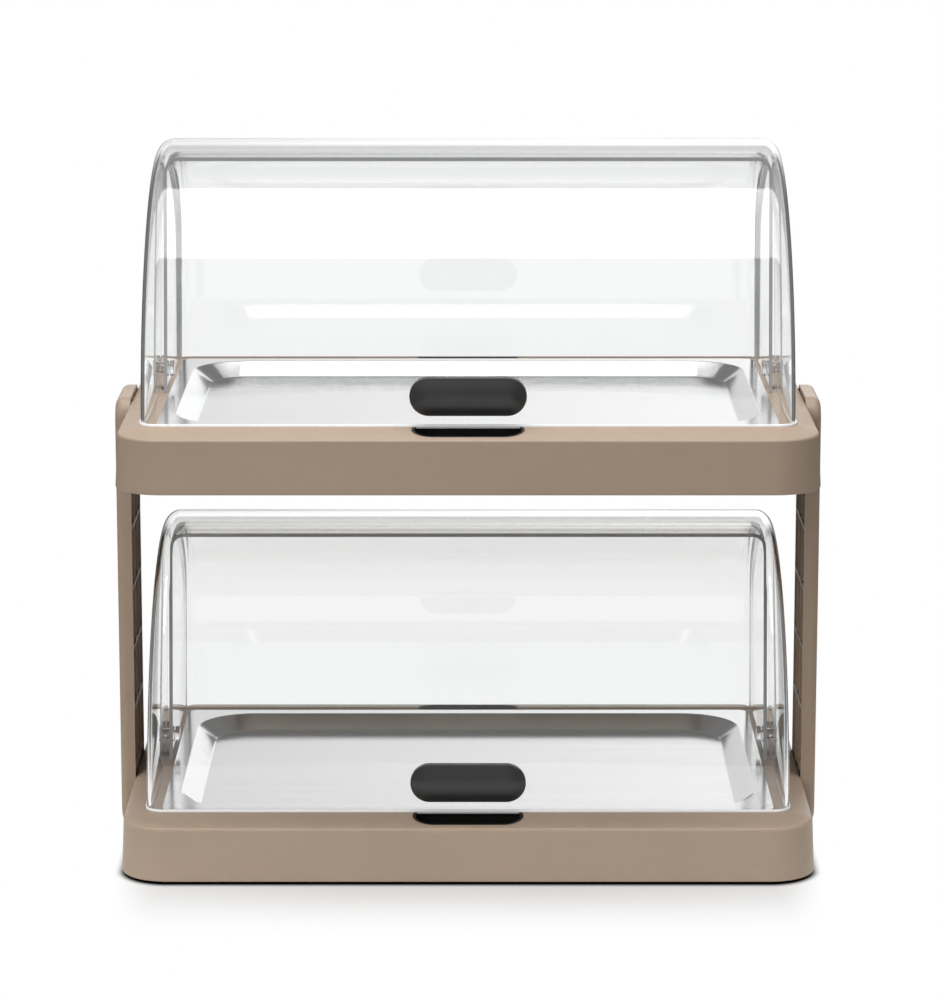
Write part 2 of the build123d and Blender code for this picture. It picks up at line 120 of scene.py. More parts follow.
class DisplayColours(bpy.types.PropertyGroup):
    """Colours of the display's materials."""

    base: colour("Base", "Moulded plastic of the two bases", (0.385, 0.293, 0.218))
    post: colour("Posts", "Moulded plastic of the side posts", (0.36, 0.268, 0.198))
    cover: colour("Covers", "Tint of the clear covers", (0.985, 0.99, 0.99))
    cut_edge: colour("Cut edges", "Ground edges of the clear covers", (0.40, 0.405, 0.41))
    # bead colour: near white, a painted highlight along the foot of a moving cover, where the clear edge
    # catches the light.
    bead: colour("Bead", "Polished bead along the foot of a moving cover", (0.98, 0.98, 0.98))
    pivot: colour("Pivots", "Tint of the clear pivot fittings", (0.86, 0.86, 0.88))
    steel: colour("Trays", "Stainless steel of the trays", (0.72, 0.72, 0.715))
    handle: colour("Handles", "Black plastic of the handle plates", (0.03, 0.03, 0.03))
    # cup colour: near black; in the rear recesses this black is painted shade of their depth.
    cup: colour("Finger cups", "Black plastic of the finger cups", (0.009, 0.008, 0.007))
    pack: colour("Cold packs", "Milky plastic of the cold packs", (0.66, 0.74, 0.82))
    pack_cap: colour("Pack caps", "Screw caps of the cold packs", (0.05, 0.17, 0.42))
    screw: colour("Screws", "Plated steel of the screws", (0.55, 0.56, 0.57))
    foot: colour("Feet", "Rubber of the feet", (0.018, 0.018, 0.018))


class DisplayDetails(bpy.types.PropertyGroup):
    """Sizes of the fittings that the CAD leaves plain."""

    merge_distance: length(
        "Merge distance", "Points of a CAD surface nearer than this become one", 0.00001, min=0)
    crease_angle: angle("Crease angle", "Edges sharper than this stay sharp", radians(28))
    rim_rounding: length(
        "Rim rounding", "How far under a base's top its polished edge lies", 0.0045)
    bed_gap: length("Bed gap", "Gap between a handle plate and the cover it is bedded on", 0.00015)
    dome_edge: length("Handle edge", "Rounding round the face of a handle plate", 0.0016)
    dome_rise: length("Handle dome", "How far the middle of a handle plate stands out", 0.003)
    dome_steps: count("Dome steps", "Rings of faces over the edge and over the dome", 8, min=3)
    dome_turns: count("Dome turns", "Faces round each end of a handle plate", 24, min=6)
    cap_thickness: length("Pivot cap", "Thickness of each pivot's outer cap", 0.002)
    stud_count: count("Knurl studs", "Studs in one row round a pivot cap", 26, min=6)
    stud_rows: count("Knurl rows", "Rows of studs along a pivot cap", 2, min=2)
    stud_reach: length("Knurl length", "Distance between the first and last row", 0.0011)
    stud_size: length("Stud size", "Radius of one stud", 0.00042)
    shank_radius: length("Screw radius", "Radius of a screw's shank", 0.0015)
    handle_head: length("Handle screw head", "Height of a handle screw's head", 0.0015)
    post_head: length("Post screw head", "Height of a post screw's head", 0.002)
    post_screw_length: length("Post screw length", "Length of a post screw under its head", 0.009)
    cap_rib_count: count("Cap ribs", "Grip ribs round each cold-pack cap", 30, min=6)
    cap_rib_size: length("Cap rib size", "Radius of one grip rib", 0.0006)
    cap_rib_length: length("Cap rib length", "Height of one grip rib", 0.0012)


class CoverSizes(bpy.types.PropertyGroup):
    """Sizes of the two clear shells of a roll-top, in metres, as they stand closed."""

    wall: length("Wall", "Thickness of the clear plastic", 0.0023)
    draft: angle("Draft", "Lean of the side walls", radians(0.7))
    front_radius: length("Front radius", "Outer radius of the moving shell", 0.1505)
    front_half_width: length("Front half width", "Half width of the moving shell at its foot", 0.2043)
    front_edge: length("Front edge radius", "Rounding of the moving shell's edges", 0.011)
    trailing_angle: angle("Trailing angle", "Where the moving shell ends behind the top", radians(93.0))
    lug_radius: length("Lug radius", "Round lug of the moving shell about each pivot", 0.012)
    rear_radius: length("Rear radius", "Outer radius of the fixed shell", 0.142)
    rear_half_width: length("Rear half width", "Half width of the fixed shell at its foot", 0.1985)
    rear_edge: length("Rear edge radius", "Rounding of the fixed shell's edges at its front", 0.0095)
    rear_corner: length(
        "Rear corner radius", "Rounding of the fixed shell's edges at its upright back", 0.0024)
    rear_inner_corner: length(
        "Rear inner corner", "Rounding inside the fixed shell's edges at its upright back", 0.0055)
    leading_angle: angle("Leading angle", "Where the fixed shell begins before the top", radians(81.5))
    rear_back: length("Rear wall", "Y of the fixed shell's upright back", 0.1315)
    rear_blend: length("Rear blend", "Radius between the fixed shell's arc and its back", 0.045)
    hole_radius: length("Pivot hole", "Radius of the holes for the pins", 0.00258)
    bead: length("Bead", "How far the foot bead stands out", 0.0008)
    bead_height: length("Bead height", "Height of the foot bead", 0.0026)
    step_angle: angle("Step", "Angle between two rows of points round an arc", radians(2.0))
    edge_steps: count("Edge steps", "Faces across a rounded edge", 10, min=2)


class TraySizes(bpy.types.PropertyGroup):
    """Sizes of the pressed steel trays, in metres."""

    sheet: length("Sheet", "Thickness of the steel", 0.0008)
    flange: length("Side flange", "Width of the flat flange at the left and right", 0.0095)
    flange_end: length("End flange", "Width of the flat flange at the front and back", 0.010)
    wall_run: length("Wall run", "How far the walls lean in from lip to floor", 0.012)
    outer_corner: length("Outer corner", "Corner radius of the flange's rim", 0.008)
    dish_corner: length("Dish corner", "Corner radius of the dish at its lip", 0.038)
    lip_radius: length("Lip", "Radius of the bend from flange to wall", 0.0018)
    crease_radius: length("Crease", "Radius of the bend from wall to floor", 0.0028)
    bend_steps: count("Bend steps", "Faces across one bend", 6, min=2)
    corner_turns: count("Corner steps", "Faces round one corner", 24, min=4)


class StudioSettings(bpy.types.PropertyGroup):
    """Camera, lamps and background."""

    lens: bpy.props.FloatProperty(
        name="Lens", description="Focal length for a 36 mm long side", default=145.566, min=1)
    camera_place: bpy.props.FloatVectorProperty(
        name="Camera place", description="Where the camera stands",
        default=(0.00058, -2.6051, 0.741), subtype="TRANSLATION")
    camera_pitch: angle("Camera pitch", "How far the camera looks down", radians(11.426))
    box_height: length("Softbox height", "Height of the softbox over the floor", 1.55)
    box_width: length("Softbox width", "Size of the softbox across", 1.9)
    box_depth: length("Softbox depth", "Size of the softbox front to back", 0.98)
    box_back: length("Softbox offset", "How far the softbox stands behind the middle", -0.14)
    box_power: bpy.props.FloatProperty(
        name="Softbox power", description="Power of the overhead softbox", default=21.5, unit="POWER")
    front_power: bpy.props.FloatProperty(
        name="Front power", description="Power of the front left lamp", default=28.5, unit="POWER")
    front_place: bpy.props.FloatVectorProperty(
        name="Front lamp place", description="Where the front left lamp stands", default=(-1.3, -2.2, 1.5),
        subtype="TRANSLATION")
    front_aim: bpy.props.FloatVectorProperty(
        name="Front lamp aim", description="Direction that the front left lamp faces",
        default=(1.3, 2.2, -1.25), subtype="TRANSLATION")
    front_size: length("Front lamp size", "Width and height of the front left lamp", 1.5)
    fill: amount("Fill", "Light that the studio walls give back", 0.42)
    flag_shade: amount("Flags", "Brightness of the grey flags round the set, as reflections show them", 0.18)
    panel_light: amount("Panel light", "Brightness of the white rear panel, as reflections show it", 1.12)
    panel_top: share("Panel top", "Upward share of a direction where the rear panel begins to fade", 0.30)
    panel_top_end: share("Panel top end", "Upward share of a direction where only the flags are left", 0.46)
    panel_edge: share(
        "Panel edge", "Sideways share of a direction where the white rear panel begins to fade", 0.25)
    panel_end: share("Panel end", "Sideways share of a direction where only the dark flags are left", 0.42)
    panel_tilt: share("Panel tilt", "How much darker the rear panel is at its left than in its middle", 0.20)
    tilt_reach: share("Tilt reach", "Sideways share of a direction over which the rear panel changes", 0.10)
    front_card: amount("Front card", "Brightness of the card beside the camera, as reflections show it", 0.5)
    table_edge: length(
        "Table edge", "Distance from the middle where the white table begins to fade in reflections", 0.32)
    table_end: length("Table end", "Distance from the middle where reflections show only the flags", 0.56)
    base_corner: length("Base corner", "Corner radius of the shade that the base casts round itself", 0.03)
    floor_lift: amount("Floor lift", "Glow that lifts the shaded floor round the base", 0.10)
    floor_shade: share("Floor shade", "Grey of the floor close to the base", 0.66)
    shade_reach: length(
        "Floor shade reach", "Distance from the base over which the floor turns plain white", 0.115)
    side_stretch: bpy.props.FloatProperty(
        name="Side stretch", description="How much sooner the floor turns white beside the base",
        default=4.0, min=1)
    contact_reach: length(
        "Contact shade", "Distance from the base over which the floor's dark seam fades", 0.006)
    floor_bounce: share("Floor bounce", "How much light the floor sends back up close to the base", 0.9)
    far_bounce: share("Far bounce", "How much light the floor sends back up far from the base", 0.15)
    bounce_reach: length("Bounce reach", "Distance from the base over which the bounce falls off", 0.5)


# Node helpers

def add(tree, kind, **settings):
    """New node of one kind, with attributes set by name."""
    node = tree.nodes.new(kind)
    for name, value in settings.items():
        setattr(node, name, value)
    return node


def feed(tree, source, target):
    """Link when the source is a socket, otherwise set the target's value."""
    if isinstance(source, bpy.types.NodeSocket):
        tree.links.new(source, target)
    else:
        target.default_value = source


def math(tree, operation, first, second=0.0, third=0.0):
    """Math node; each input is a number or a socket."""
    node = add(tree, "ShaderNodeMath", operation=operation)
    for socket, value in zip(node.inputs, (first, second, third)):
        feed(tree, value, socket)
    return node.outputs[0]


def noise(tree, vector, scale, detail=2.0, rough=0.5, **settings):
    """Noise texture at a scale in cycles per metre; gives its factor."""
    node = add(tree, "ShaderNodeTexNoise", **settings)
    feed(tree, vector, node.inputs["Vector"])
    feed(tree, scale, node.inputs["Scale"])
    feed(tree, detail, node.inputs["Detail"])
    feed(tree, rough, node.inputs["Roughness"])
    return node.outputs["Factor"] if "Factor" in node.outputs else node.outputs["Fac"]


def ramp(tree, value, low, high, to_low=0.0, to_high=1.0, smooth=False):
    """Map a value from one range to another, clamped."""
    node = add(tree, "ShaderNodeMapRange", clamp=True)
    if smooth:
        node.interpolation_type = "SMOOTHSTEP"
    for name, number in (("From Min", low), ("From Max", high), ("To Min", to_low), ("To Max", to_high)):
        feed(tree, number, node.inputs[name])
    feed(tree, value, node.inputs["Value"])
    return node.outputs["Result"]


def blend_colour(tree, factor, first, second, mode="MIX"):
    """Mix two colours; each is a tuple of four or a socket."""
    node = add(tree, "ShaderNodeMix", data_type="RGBA", blend_type=mode, clamp_factor=True)
    feed(tree, factor, node.inputs[0])
    feed(tree, first, node.inputs[6])
    feed(tree, second, node.inputs[7])
    return node.outputs[2]


def stretched(tree, vector, scale):
    """Vector scaled apart along its three axes."""
    node = add(tree, "ShaderNodeVectorMath", operation="MULTIPLY")
    feed(tree, vector, node.inputs[0])
    node.inputs[1].default_value = scale
    return node.outputs[0]


def rgba(colour, factor=1.0):
    """Colour property as four numbers."""
    return (*[channel * factor for channel in colour], 1.0)


def new_group(name, inputs, outputs):
    """Shader node group with named sockets; gives the tree and its input and output nodes."""
    tree = bpy.data.node_groups.new(name, "ShaderNodeTree")
    for socket_name, kind, default in inputs:
        socket = tree.interface.new_socket(socket_name, in_out="INPUT", socket_type=kind)
        if default is not None:
            socket.default_value = default
    for socket_name, kind in outputs:
        tree.interface.new_socket(socket_name, in_out="OUTPUT", socket_type=kind)
    return tree, add(tree, "NodeGroupInput"), add(tree, "NodeGroupOutput")


def moulded_grain_group():
    """Spark-eroded mould texture: two tones, uneven gloss and a fine pebbled height."""
    tree, given, gives = new_group(
        "Moulded Grain",
        [("Vector", "NodeSocketVector", None), ("Colour", "NodeSocketColor", (0.5, 0.5, 0.5, 1)),
         ("Tone Change", "NodeSocketFloat", 0.05), ("Grain Size", "NodeSocketFloat", 0.0007),
         ("Roughness", "NodeSocketFloat", 0.45), ("Roughness Change", "NodeSocketFloat", 0.05)],
        [("Colour", "NodeSocketColor"), ("Roughness", "NodeSocketFloat"), ("Height", "NodeSocketFloat")])
    vector = given.outputs["Vector"]
    cloud = noise(tree, vector, scale=14.0, detail=3.0, rough=0.55)
    fine_scale = math(tree, "DIVIDE", 1.0, given.outputs["Grain Size"])
    pebble = noise(tree, vector, fine_scale, 2.0, 0.6)
    speck = noise(tree, vector, math(tree, "MULTIPLY", fine_scale, 0.31), 2.0, 0.5)
    shade = math(tree, "ADD", ramp(tree, cloud, 0.3, 0.7, -0.6, 0.6), ramp(tree, speck, 0.3, 0.7, -0.4, 0.4))
    shade = math(tree, "MULTIPLY_ADD", shade, given.outputs["Tone Change"], 1.0)
    scaled = add(tree, "ShaderNodeVectorMath", operation="SCALE")
    feed(tree, given.outputs["Colour"], scaled.inputs[0])
    feed(tree, shade, scaled.inputs["Scale"])
    feed(tree, scaled.outputs[0], gives.inputs["Colour"])
    patchy = ramp(tree, noise(tree, vector, scale=45.0, detail=3.0), 0.3, 0.7, -1.0, 1.0)
    gloss = math(tree, "MULTIPLY", patchy, given.outputs["Roughness Change"])
    feed(tree, math(tree, "ADD", gloss, given.outputs["Roughness"]), gives.inputs["Roughness"])
    height = math(tree, "MULTIPLY_ADD", pebble, 0.7, math(tree, "MULTIPLY", speck, 0.3))
    feed(tree, height, gives.inputs["Height"])
    return tree


def edge_rub_and_highlight_group():
    """Mask of edges at one height, broken up by noise: where hands and cloths have polished them and where a
    lighter painted highlight goes.
    """
    tree, given, gives = new_group(
        "Edge Rub",
        [("Vector", "NodeSocketVector", None), ("Height", "NodeSocketFloat", 0.0),
         ("Repeat", "NodeSocketFloat", 1.0), ("Width", "NodeSocketFloat", 0.0015)],
        [("Mask", "NodeSocketFloat")])
    vector = given.outputs["Vector"]
    axes = add(tree, "ShaderNodeSeparateXYZ")
    feed(tree, vector, axes.inputs[0])
    above = math(tree, "SUBTRACT", axes.outputs["Z"], given.outputs["Height"])
    folded = math(tree, "ABSOLUTE", math(tree, "PINGPONG", above, given.outputs["Repeat"]))
    uneven = ramp(tree, noise(tree, vector, scale=90.0, detail=3.0), 0.3, 0.7, 0.4, 1.3)
    reach = math(tree, "MULTIPLY", given.outputs["Width"], uneven)
    near = math(tree, "SUBTRACT", 1.0, math(tree, "DIVIDE", folded, reach))
    feed(tree, ramp(tree, near, 0.0, 1.0, 0.0, 1.0, True), gives.inputs["Mask"])
    return tree


def fine_scratch_group():
    """Hair-fine scratches and wipe marks along one direction."""
    tree, given, gives = new_group(
        "Fine Scratches",
        [("Vector", "NodeSocketVector", None), ("Amount", "NodeSocketFloat", 0.3)],
        [("Mask", "NodeSocketFloat"), ("Height", "NodeSocketFloat")])
    vector = given.outputs["Vector"]
    turn = add(tree, "ShaderNodeMapping")
    turn.inputs["Rotation"].default_value = (0.2, 0.35, 0.9)
    turn.inputs["Scale"].default_value = (1.0, 26.0, 26.0)
    feed(tree, vector, turn.inputs["Vector"])
    hair = noise(tree, turn.outputs[0], 38.0, 4.0, 0.75)
    line = ramp(tree, math(tree, "ABSOLUTE", math(tree, "SUBTRACT", hair, 0.5)), 0.0, 0.012, 1.0, 0.0)
    patch = ramp(tree, noise(tree, vector, scale=22.0, detail=2.0), 0.5, 0.62)
    mask = math(tree, "MULTIPLY", math(tree, "MULTIPLY", line, patch), given.outputs["Amount"])
    feed(tree, mask, gives.inputs["Mask"])
    feed(tree, math(tree, "MULTIPLY", mask, -1.0), gives.inputs["Height"])
    return tree


def brushed_group():
    """Straight satin brushing of rolled steel sheet along X."""
    tree, given, gives = new_group(
        "Satin Brushing",
        [("Vector", "NodeSocketVector", None), ("Roughness", "NodeSocketFloat", 0.3),
         ("Change", "NodeSocketFloat", 0.08)],
        [("Roughness", "NodeSocketFloat"), ("Height", "NodeSocketFloat"), ("Shade", "NodeSocketFloat")])
    vector = given.outputs["Vector"]
    lines = noise(tree, stretched(tree, vector, (7.0, 900.0, 900.0)), scale=1.0, detail=4.0, rough=0.7)
    wide = noise(tree, stretched(tree, vector, (3.0, 120.0, 120.0)), scale=1.0, detail=2.0, rough=0.5)
    change = math(tree, "MULTIPLY", ramp(tree, wide, 0.3, 0.7, -1.0, 1.0), given.outputs["Change"])
    feed(tree, math(tree, "ADD", change, given.outputs["Roughness"]), gives.inputs["Roughness"])
    feed(tree, lines, gives.inputs["Height"])
    feed(tree, ramp(tree, lines, 0.25, 0.75, 0.96, 1.04), gives.inputs["Shade"])
    return tree


def group_node(tree, name, maker, **inputs):
    """Node of a shared group, built once and given its own values."""
    node = add(tree, "ShaderNodeGroup")
    node.node_tree = bpy.data.node_groups.get(name) or maker()
    for socket_name, value in inputs.items():
        feed(tree, value, node.inputs[socket_name.replace("_", " ")])
    return node


def new_material(name, **constants):
    """Material with one Principled shader, its constants set on its own sockets."""
    material = bpy.data.materials.new(name)
    material.use_nodes = True
    tree = material.node_tree
    shader = tree.nodes["Principled BSDF"]
    for socket_name, value in constants.items():
        shader.inputs[socket_name.replace("_", " ")].default_value = value
    place = add(tree, "ShaderNodeTexCoord")
    return material, tree, shader, place.outputs["Object"]


def bump(tree, shader, height, distance, strength=1.0):
    """Relief of a given distance in metres on a shader."""
    node = add(tree, "ShaderNodeBump")
    node.inputs["Strength"].default_value = strength
    node.inputs["Distance"].default_value = distance
    feed(tree, height, node.inputs["Height"])
    feed(tree, node.outputs["Normal"], shader.inputs["Normal"])


# Materials

def moulded_plastic(name, colour, rub_height, rub_repeat, rub_width):
    """Satin moulded plastic with pebbled grain, polished edges painted lighter as a highlight, and a few
    hairlines.
    """
    material, tree, shader, vector = new_material(name, Roughness=0.45, IOR=1.46)
    grain = group_node(tree, "Moulded Grain", moulded_grain_group, Vector=vector, Colour=rgba(colour),
                       Tone_Change=0.045, Grain_Size=0.0006, Roughness=0.46, Roughness_Change=0.05)
    rub_and_highlight = group_node(tree, "Edge Rub", edge_rub_and_highlight_group, Vector=vector, Height=rub_height,
                     Repeat=rub_repeat, Width=rub_width)
    scratch = group_node(tree, "Fine Scratches", fine_scratch_group, Vector=vector, Amount=0.25)
    # light is the colour of a painted highlight along the rubbed edges; the lower roughness there is real
    # polish.
    light = rgba([channel * 1.22 for channel in colour])
    hairs = math(tree, "MULTIPLY", scratch.outputs["Mask"], 0.5)
    marks_and_highlight = math(tree, "MULTIPLY_ADD", rub_and_highlight.outputs["Mask"], 0.5, hairs)
    feed(tree, blend_colour(tree, marks_and_highlight, grain.outputs["Colour"], light), shader.inputs["Base Color"])
    rough = math(tree, "MULTIPLY_ADD", rub_and_highlight.outputs["Mask"], -0.12, grain.outputs["Roughness"])
    feed(tree, rough, shader.inputs["Roughness"])
    bump(tree, shader, grain.outputs["Height"], distance=0.00006, strength=0.6)
    return material


def clear_plastic(name, colour, shadow):
    """Clear plastic that bends what is seen through it and lets the lamps through."""
    material, tree, shader, _ = new_material(
        name, Base_Color=rgba(colour), Roughness=0.0, IOR=1.49, Transmission_Weight=1.0)
    light = add(tree, "ShaderNodeLightPath")
    passes = math(tree, "MAXIMUM", light.outputs["Is Shadow Ray"], light.outputs["Is Diffuse Ray"])
    through = add(tree, "ShaderNodeBsdfTransparent")
    through.inputs["Color"].default_value = (shadow, shadow, shadow, 1.0)
    mix = add(tree, "ShaderNodeMixShader")
    feed(tree, passes, mix.inputs[0])
    feed(tree, shader.outputs[0], mix.inputs[1])
    feed(tree, through.outputs[0], mix.inputs[2])
    feed(tree, mix.outputs[0], tree.nodes["Material Output"].inputs["Surface"])
    return material


def ground_edge(name, colour):
    """Ground edge of the clear plastic, pale and cloudy; in the bead's near white it is a painted highlight
    along a cover's foot.
    """
    material, tree, shader, vector = new_material(name, IOR=1.49, Roughness=0.35)
    cloud = noise(tree, vector, scale=260.0, detail=3.0, rough=0.6)
    feed(tree, blend_colour(tree, cloud, rgba(colour, 0.9), rgba(colour)), shader.inputs["Base Color"])
    feed(tree, ramp(tree, cloud, 0.3, 0.7, 0.28, 0.42), shader.inputs["Roughness"])
    return material


def satin_steel(name, colour):
    """Pressed stainless sheet with straight satin brushing and light wipe marks."""
    material, tree, shader, vector = new_material(name, Metallic=1.0)
    brush = group_node(tree, "Satin Brushing", brushed_group, Vector=vector, Roughness=0.15, Change=0.025)
    scratch = group_node(tree, "Fine Scratches", fine_scratch_group, Vector=vector, Amount=0.4)
    tone = add(tree, "ShaderNodeVectorMath", operation="SCALE")
    tone.inputs[0].default_value = colour
    feed(tree, brush.outputs["Shade"], tone.inputs["Scale"])
    feed(tree, tone.outputs[0], shader.inputs["Base Color"])
    rough = math(tree, "MULTIPLY_ADD", scratch.outputs["Mask"], 0.1, brush.outputs["Roughness"])
    feed(tree, rough, shader.inputs["Roughness"])
    bump(tree, shader, brush.outputs["Height"], distance=0.000004, strength=0.2)
    return material


def black_plastic(name, colour, roughness, grain_size):
    """Black moulded plastic with a fine grain and faint handling marks."""
    material, tree, shader, vector = new_material(name, IOR=1.5)
    grain = group_node(tree, "Moulded Grain", moulded_grain_group, Vector=vector, Colour=rgba(colour),
                       Tone_Change=0.12, Grain_Size=grain_size, Roughness=roughness, Roughness_Change=0.04)
    scratch = group_node(tree, "Fine Scratches", fine_scratch_group, Vector=vector, Amount=0.3)
    worn = rgba([channel * 2.2 + 0.01 for channel in colour])
    tone = blend_colour(tree, scratch.outputs["Mask"], grain.outputs["Colour"], worn)
    feed(tree, tone, shader.inputs["Base Color"])
    feed(tree, grain.outputs["Roughness"], shader.inputs["Roughness"])
    bump(tree, shader, grain.outputs["Height"], distance=0.00004, strength=0.5)
    return material


def milky_plastic(name, colour):
    """Blow-moulded polyethylene, cloudy and soft."""
    material, tree, shader, vector = new_material(
        name, IOR=1.5, Subsurface_Weight=0.25, Subsurface_Scale=0.004)
    shader.inputs["Subsurface Radius"].default_value = (0.6, 0.8, 1.0)
    grain = group_node(tree, "Moulded Grain", moulded_grain_group, Vector=vector, Colour=rgba(colour),
                       Tone_Change=0.05, Grain_Size=0.0015, Roughness=0.38, Roughness_Change=0.06)
    feed(tree, grain.outputs["Colour"], shader.inputs["Base Color"])
    feed(tree, grain.outputs["Roughness"], shader.inputs["Roughness"])
    bump(tree, shader, grain.outputs["Height"], distance=0.00015, strength=0.6)
    return material


def plated_steel(name, colour):
    """Zinc-plated screw steel, a little cloudy."""
    material, tree, shader, vector = new_material(name, Metallic=1.0)
    cloud = noise(tree, vector, scale=700.0, detail=3.0, rough=0.6)
    pale = rgba([min(1.0, channel * 1.25) for channel in colour])
    tone = blend_colour(tree, ramp(tree, cloud, 0.35, 0.65), rgba(colour), pale)
    feed(tree, tone, shader.inputs["Base Color"])
    feed(tree, ramp(tree, cloud, 0.3, 0.7, 0.24, 0.4), shader.inputs["Roughness"])
    bump(tree, shader, cloud, distance=0.00002, strength=0.4)
    return material


# Geometry trees

def new_geometry_tree(name, counts, sizes):
    """Geometry Nodes tree with counts, sizes, a place, a turn and a material, and one geometry in and out."""
    inputs = [(title, "NodeSocketInt") for title in counts] + [(title, "NodeSocketFloat") for title in sizes]
    inputs += [("Place", "NodeSocketVector"), ("Turn", "NodeSocketRotation"),
               ("Material", "NodeSocketMaterial")]
    tree = bpy.data.node_groups.new(name, "GeometryNodeTree")
    tree.interface.new_socket("Geometry", in_out="INPUT", socket_type="NodeSocketGeometry")
    for socket_name, kind in inputs:
        tree.interface.new_socket(socket_name, in_out="INPUT", socket_type=kind)
    tree.interface.new_socket("Geometry", in_out="OUTPUT", socket_type="NodeSocketGeometry")
    return tree, add(tree, "NodeGroupInput"), add(tree, "NodeGroupOutput")


def wired(tree, kind, links, **settings):
    """Geometry node with its inputs fed from a table of sockets and values."""
    node = add(tree, kind, **settings)
    for name, value in links.items():
        feed(tree, value, node.inputs[name])
    return node


def close_tree(tree, geometry, given, gives):
    """End a tree in Realize Instances, its place and its material."""
    real = wired(tree, "GeometryNodeRealizeInstances", {"Geometry": geometry})
    placed = wired(tree, "GeometryNodeTransform", {
        "Geometry": real.outputs[0], "Translation": given.outputs["Place"],
        "Rotation": given.outputs["Turn"]})
    finished = wired(tree, "GeometryNodeSetMaterial", {
        "Geometry": placed.outputs[0], "Material": given.outputs["Material"]})
    feed(tree, finished.outputs[0], gives.inputs["Geometry"])
    return tree


def stud_sleeve_tree():
    """Rows of small studs round a sleeve, as on a knurled cap. The sleeve lies along Z before its turn."""
    tree, given, gives = new_geometry_tree(
        "Stud Sleeve", ["Studs", "Rows"], ["Radius", "Length", "Stud Size"])
    gaps = wired(tree, "ShaderNodeMath", {0: given.outputs["Rows"], 1: 1.0}, operation="SUBTRACT")
    sleeve = wired(tree, "GeometryNodeMeshCylinder", {
        "Vertices": given.outputs["Studs"], "Side Segments": gaps.outputs[0],
        "Radius": given.outputs["Radius"], "Depth": given.outputs["Length"]}, fill_type="NONE")
    stud = wired(tree, "GeometryNodeMeshIcoSphere", {"Radius": given.outputs["Stud Size"], "Subdivisions": 2})
    studs = wired(tree, "GeometryNodeInstanceOnPoints", {
        "Points": sleeve.outputs["Mesh"], "Instance": stud.outputs["Mesh"]})
    return close_tree(tree, studs.outputs[0], given, gives)


def rib_ring_tree():
    """Upright ribs round a ring, as on the grip of a screw cap."""
    tree, given, gives = new_geometry_tree("Rib Ring", ["Ribs"], ["Radius", "Rib Radius", "Rib Length"])
    ring = wired(tree, "GeometryNodeMeshCircle", {
        "Vertices": given.outputs["Ribs"], "Radius": given.outputs["Radius"]})
    rib = wired(tree, "GeometryNodeMeshCylinder", {
        "Vertices": 8, "Radius": given.outputs["Rib Radius"], "Depth": given.outputs["Rib Length"]})
    ribs = wired(tree, "GeometryNodeInstanceOnPoints", {
        "Points": ring.outputs["Mesh"], "Instance": rib.outputs["Mesh"]})
    return close_tree(tree, ribs.outputs[0], given, gives)


def edge_strip_tree():
    """Strip of rectangular section that follows the given line of points."""
    tree, given, gives = new_geometry_tree("Edge Strip", [], ["Thickness", "Height"])
    path = wired(tree, "GeometryNodeMeshToCurve", {"Mesh": given.outputs["Geometry"]})
    section = wired(tree, "GeometryNodeCurvePrimitiveQuadrilateral", {
        "Width": given.outputs["Thickness"], "Height": given.outputs["Height"]})
    strip = wired(tree, "GeometryNodeCurveToMesh", {
        "Curve": path.outputs[0], "Profile Curve": section.outputs[0], "Fill Caps": True})
    return close_tree(tree, strip.outputs[0], given, gives)


def cross_head_screws_tree():
    """Pan-head screws with a cross recess at the given points; each points down Z before the turn."""
    tree, given, gives = new_geometry_tree(
        "Cross-Head Screws", [], ["Shank Radius", "Shank Length", "Head Radius", "Head Height"])
    narrowing, slot_width, slot_reach, slot_level = 0.78, 0.22, 1.1, 0.95

    def scaled(value, factor):
        return math(tree, "MULTIPLY", value, factor)

    def point(z):
        node = add(tree, "ShaderNodeCombineXYZ")
        feed(tree, z, node.inputs["Z"])
        return node.outputs[0]

    head_radius, head_height = given.outputs["Head Radius"], given.outputs["Head Height"]
    head = wired(tree, "GeometryNodeMeshCone", {
        "Vertices": 40, "Radius Top": scaled(head_radius, narrowing), "Radius Bottom": head_radius,
        "Depth": head_height, "Fill Segments": 2})
    slots = add(tree, "GeometryNodeJoinGeometry")
    for width, depth in ((slot_width, slot_reach), (slot_reach, slot_width)):
        size = add(tree, "ShaderNodeCombineXYZ")
        feed(tree, scaled(head_radius, width), size.inputs["X"])
        feed(tree, scaled(head_radius, depth), size.inputs["Y"])
        feed(tree, scaled(head_height, slot_reach), size.inputs["Z"])
        bar = wired(tree, "GeometryNodeMeshCube", {"Size": size.outputs[0]})
        raised = wired(tree, "GeometryNodeTransform", {
            "Geometry": bar.outputs["Mesh"], "Translation": point(scaled(head_height, slot_level))})
        tree.links.new(raised.outputs[0], slots.inputs[0])
    cut = wired(tree, "GeometryNodeMeshBoolean", {"Mesh 1": head.outputs["Mesh"], "Mesh 2": slots.outputs[0]},
                operation="DIFFERENCE")
    shank_length = given.outputs["Shank Length"]
    shank = wired(tree, "GeometryNodeMeshCylinder", {
        "Vertices": 24, "Radius": given.outputs["Shank Radius"], "Depth": shank_length})
    low = wired(tree, "GeometryNodeTransform", {
        "Geometry": shank.outputs["Mesh"], "Translation": point(scaled(shank_length, -0.5))})
    whole = add(tree, "GeometryNodeJoinGeometry")
    for part in (cut.outputs["Mesh"], low.outputs[0]):
        tree.links.new(part, whole.inputs[0])
    screws = wired(tree, "GeometryNodeInstanceOnPoints", {
        "Points": given.outputs["Geometry"], "Instance": whole.outputs[0]})
    return close_tree(tree, screws.outputs[0], given, gives)


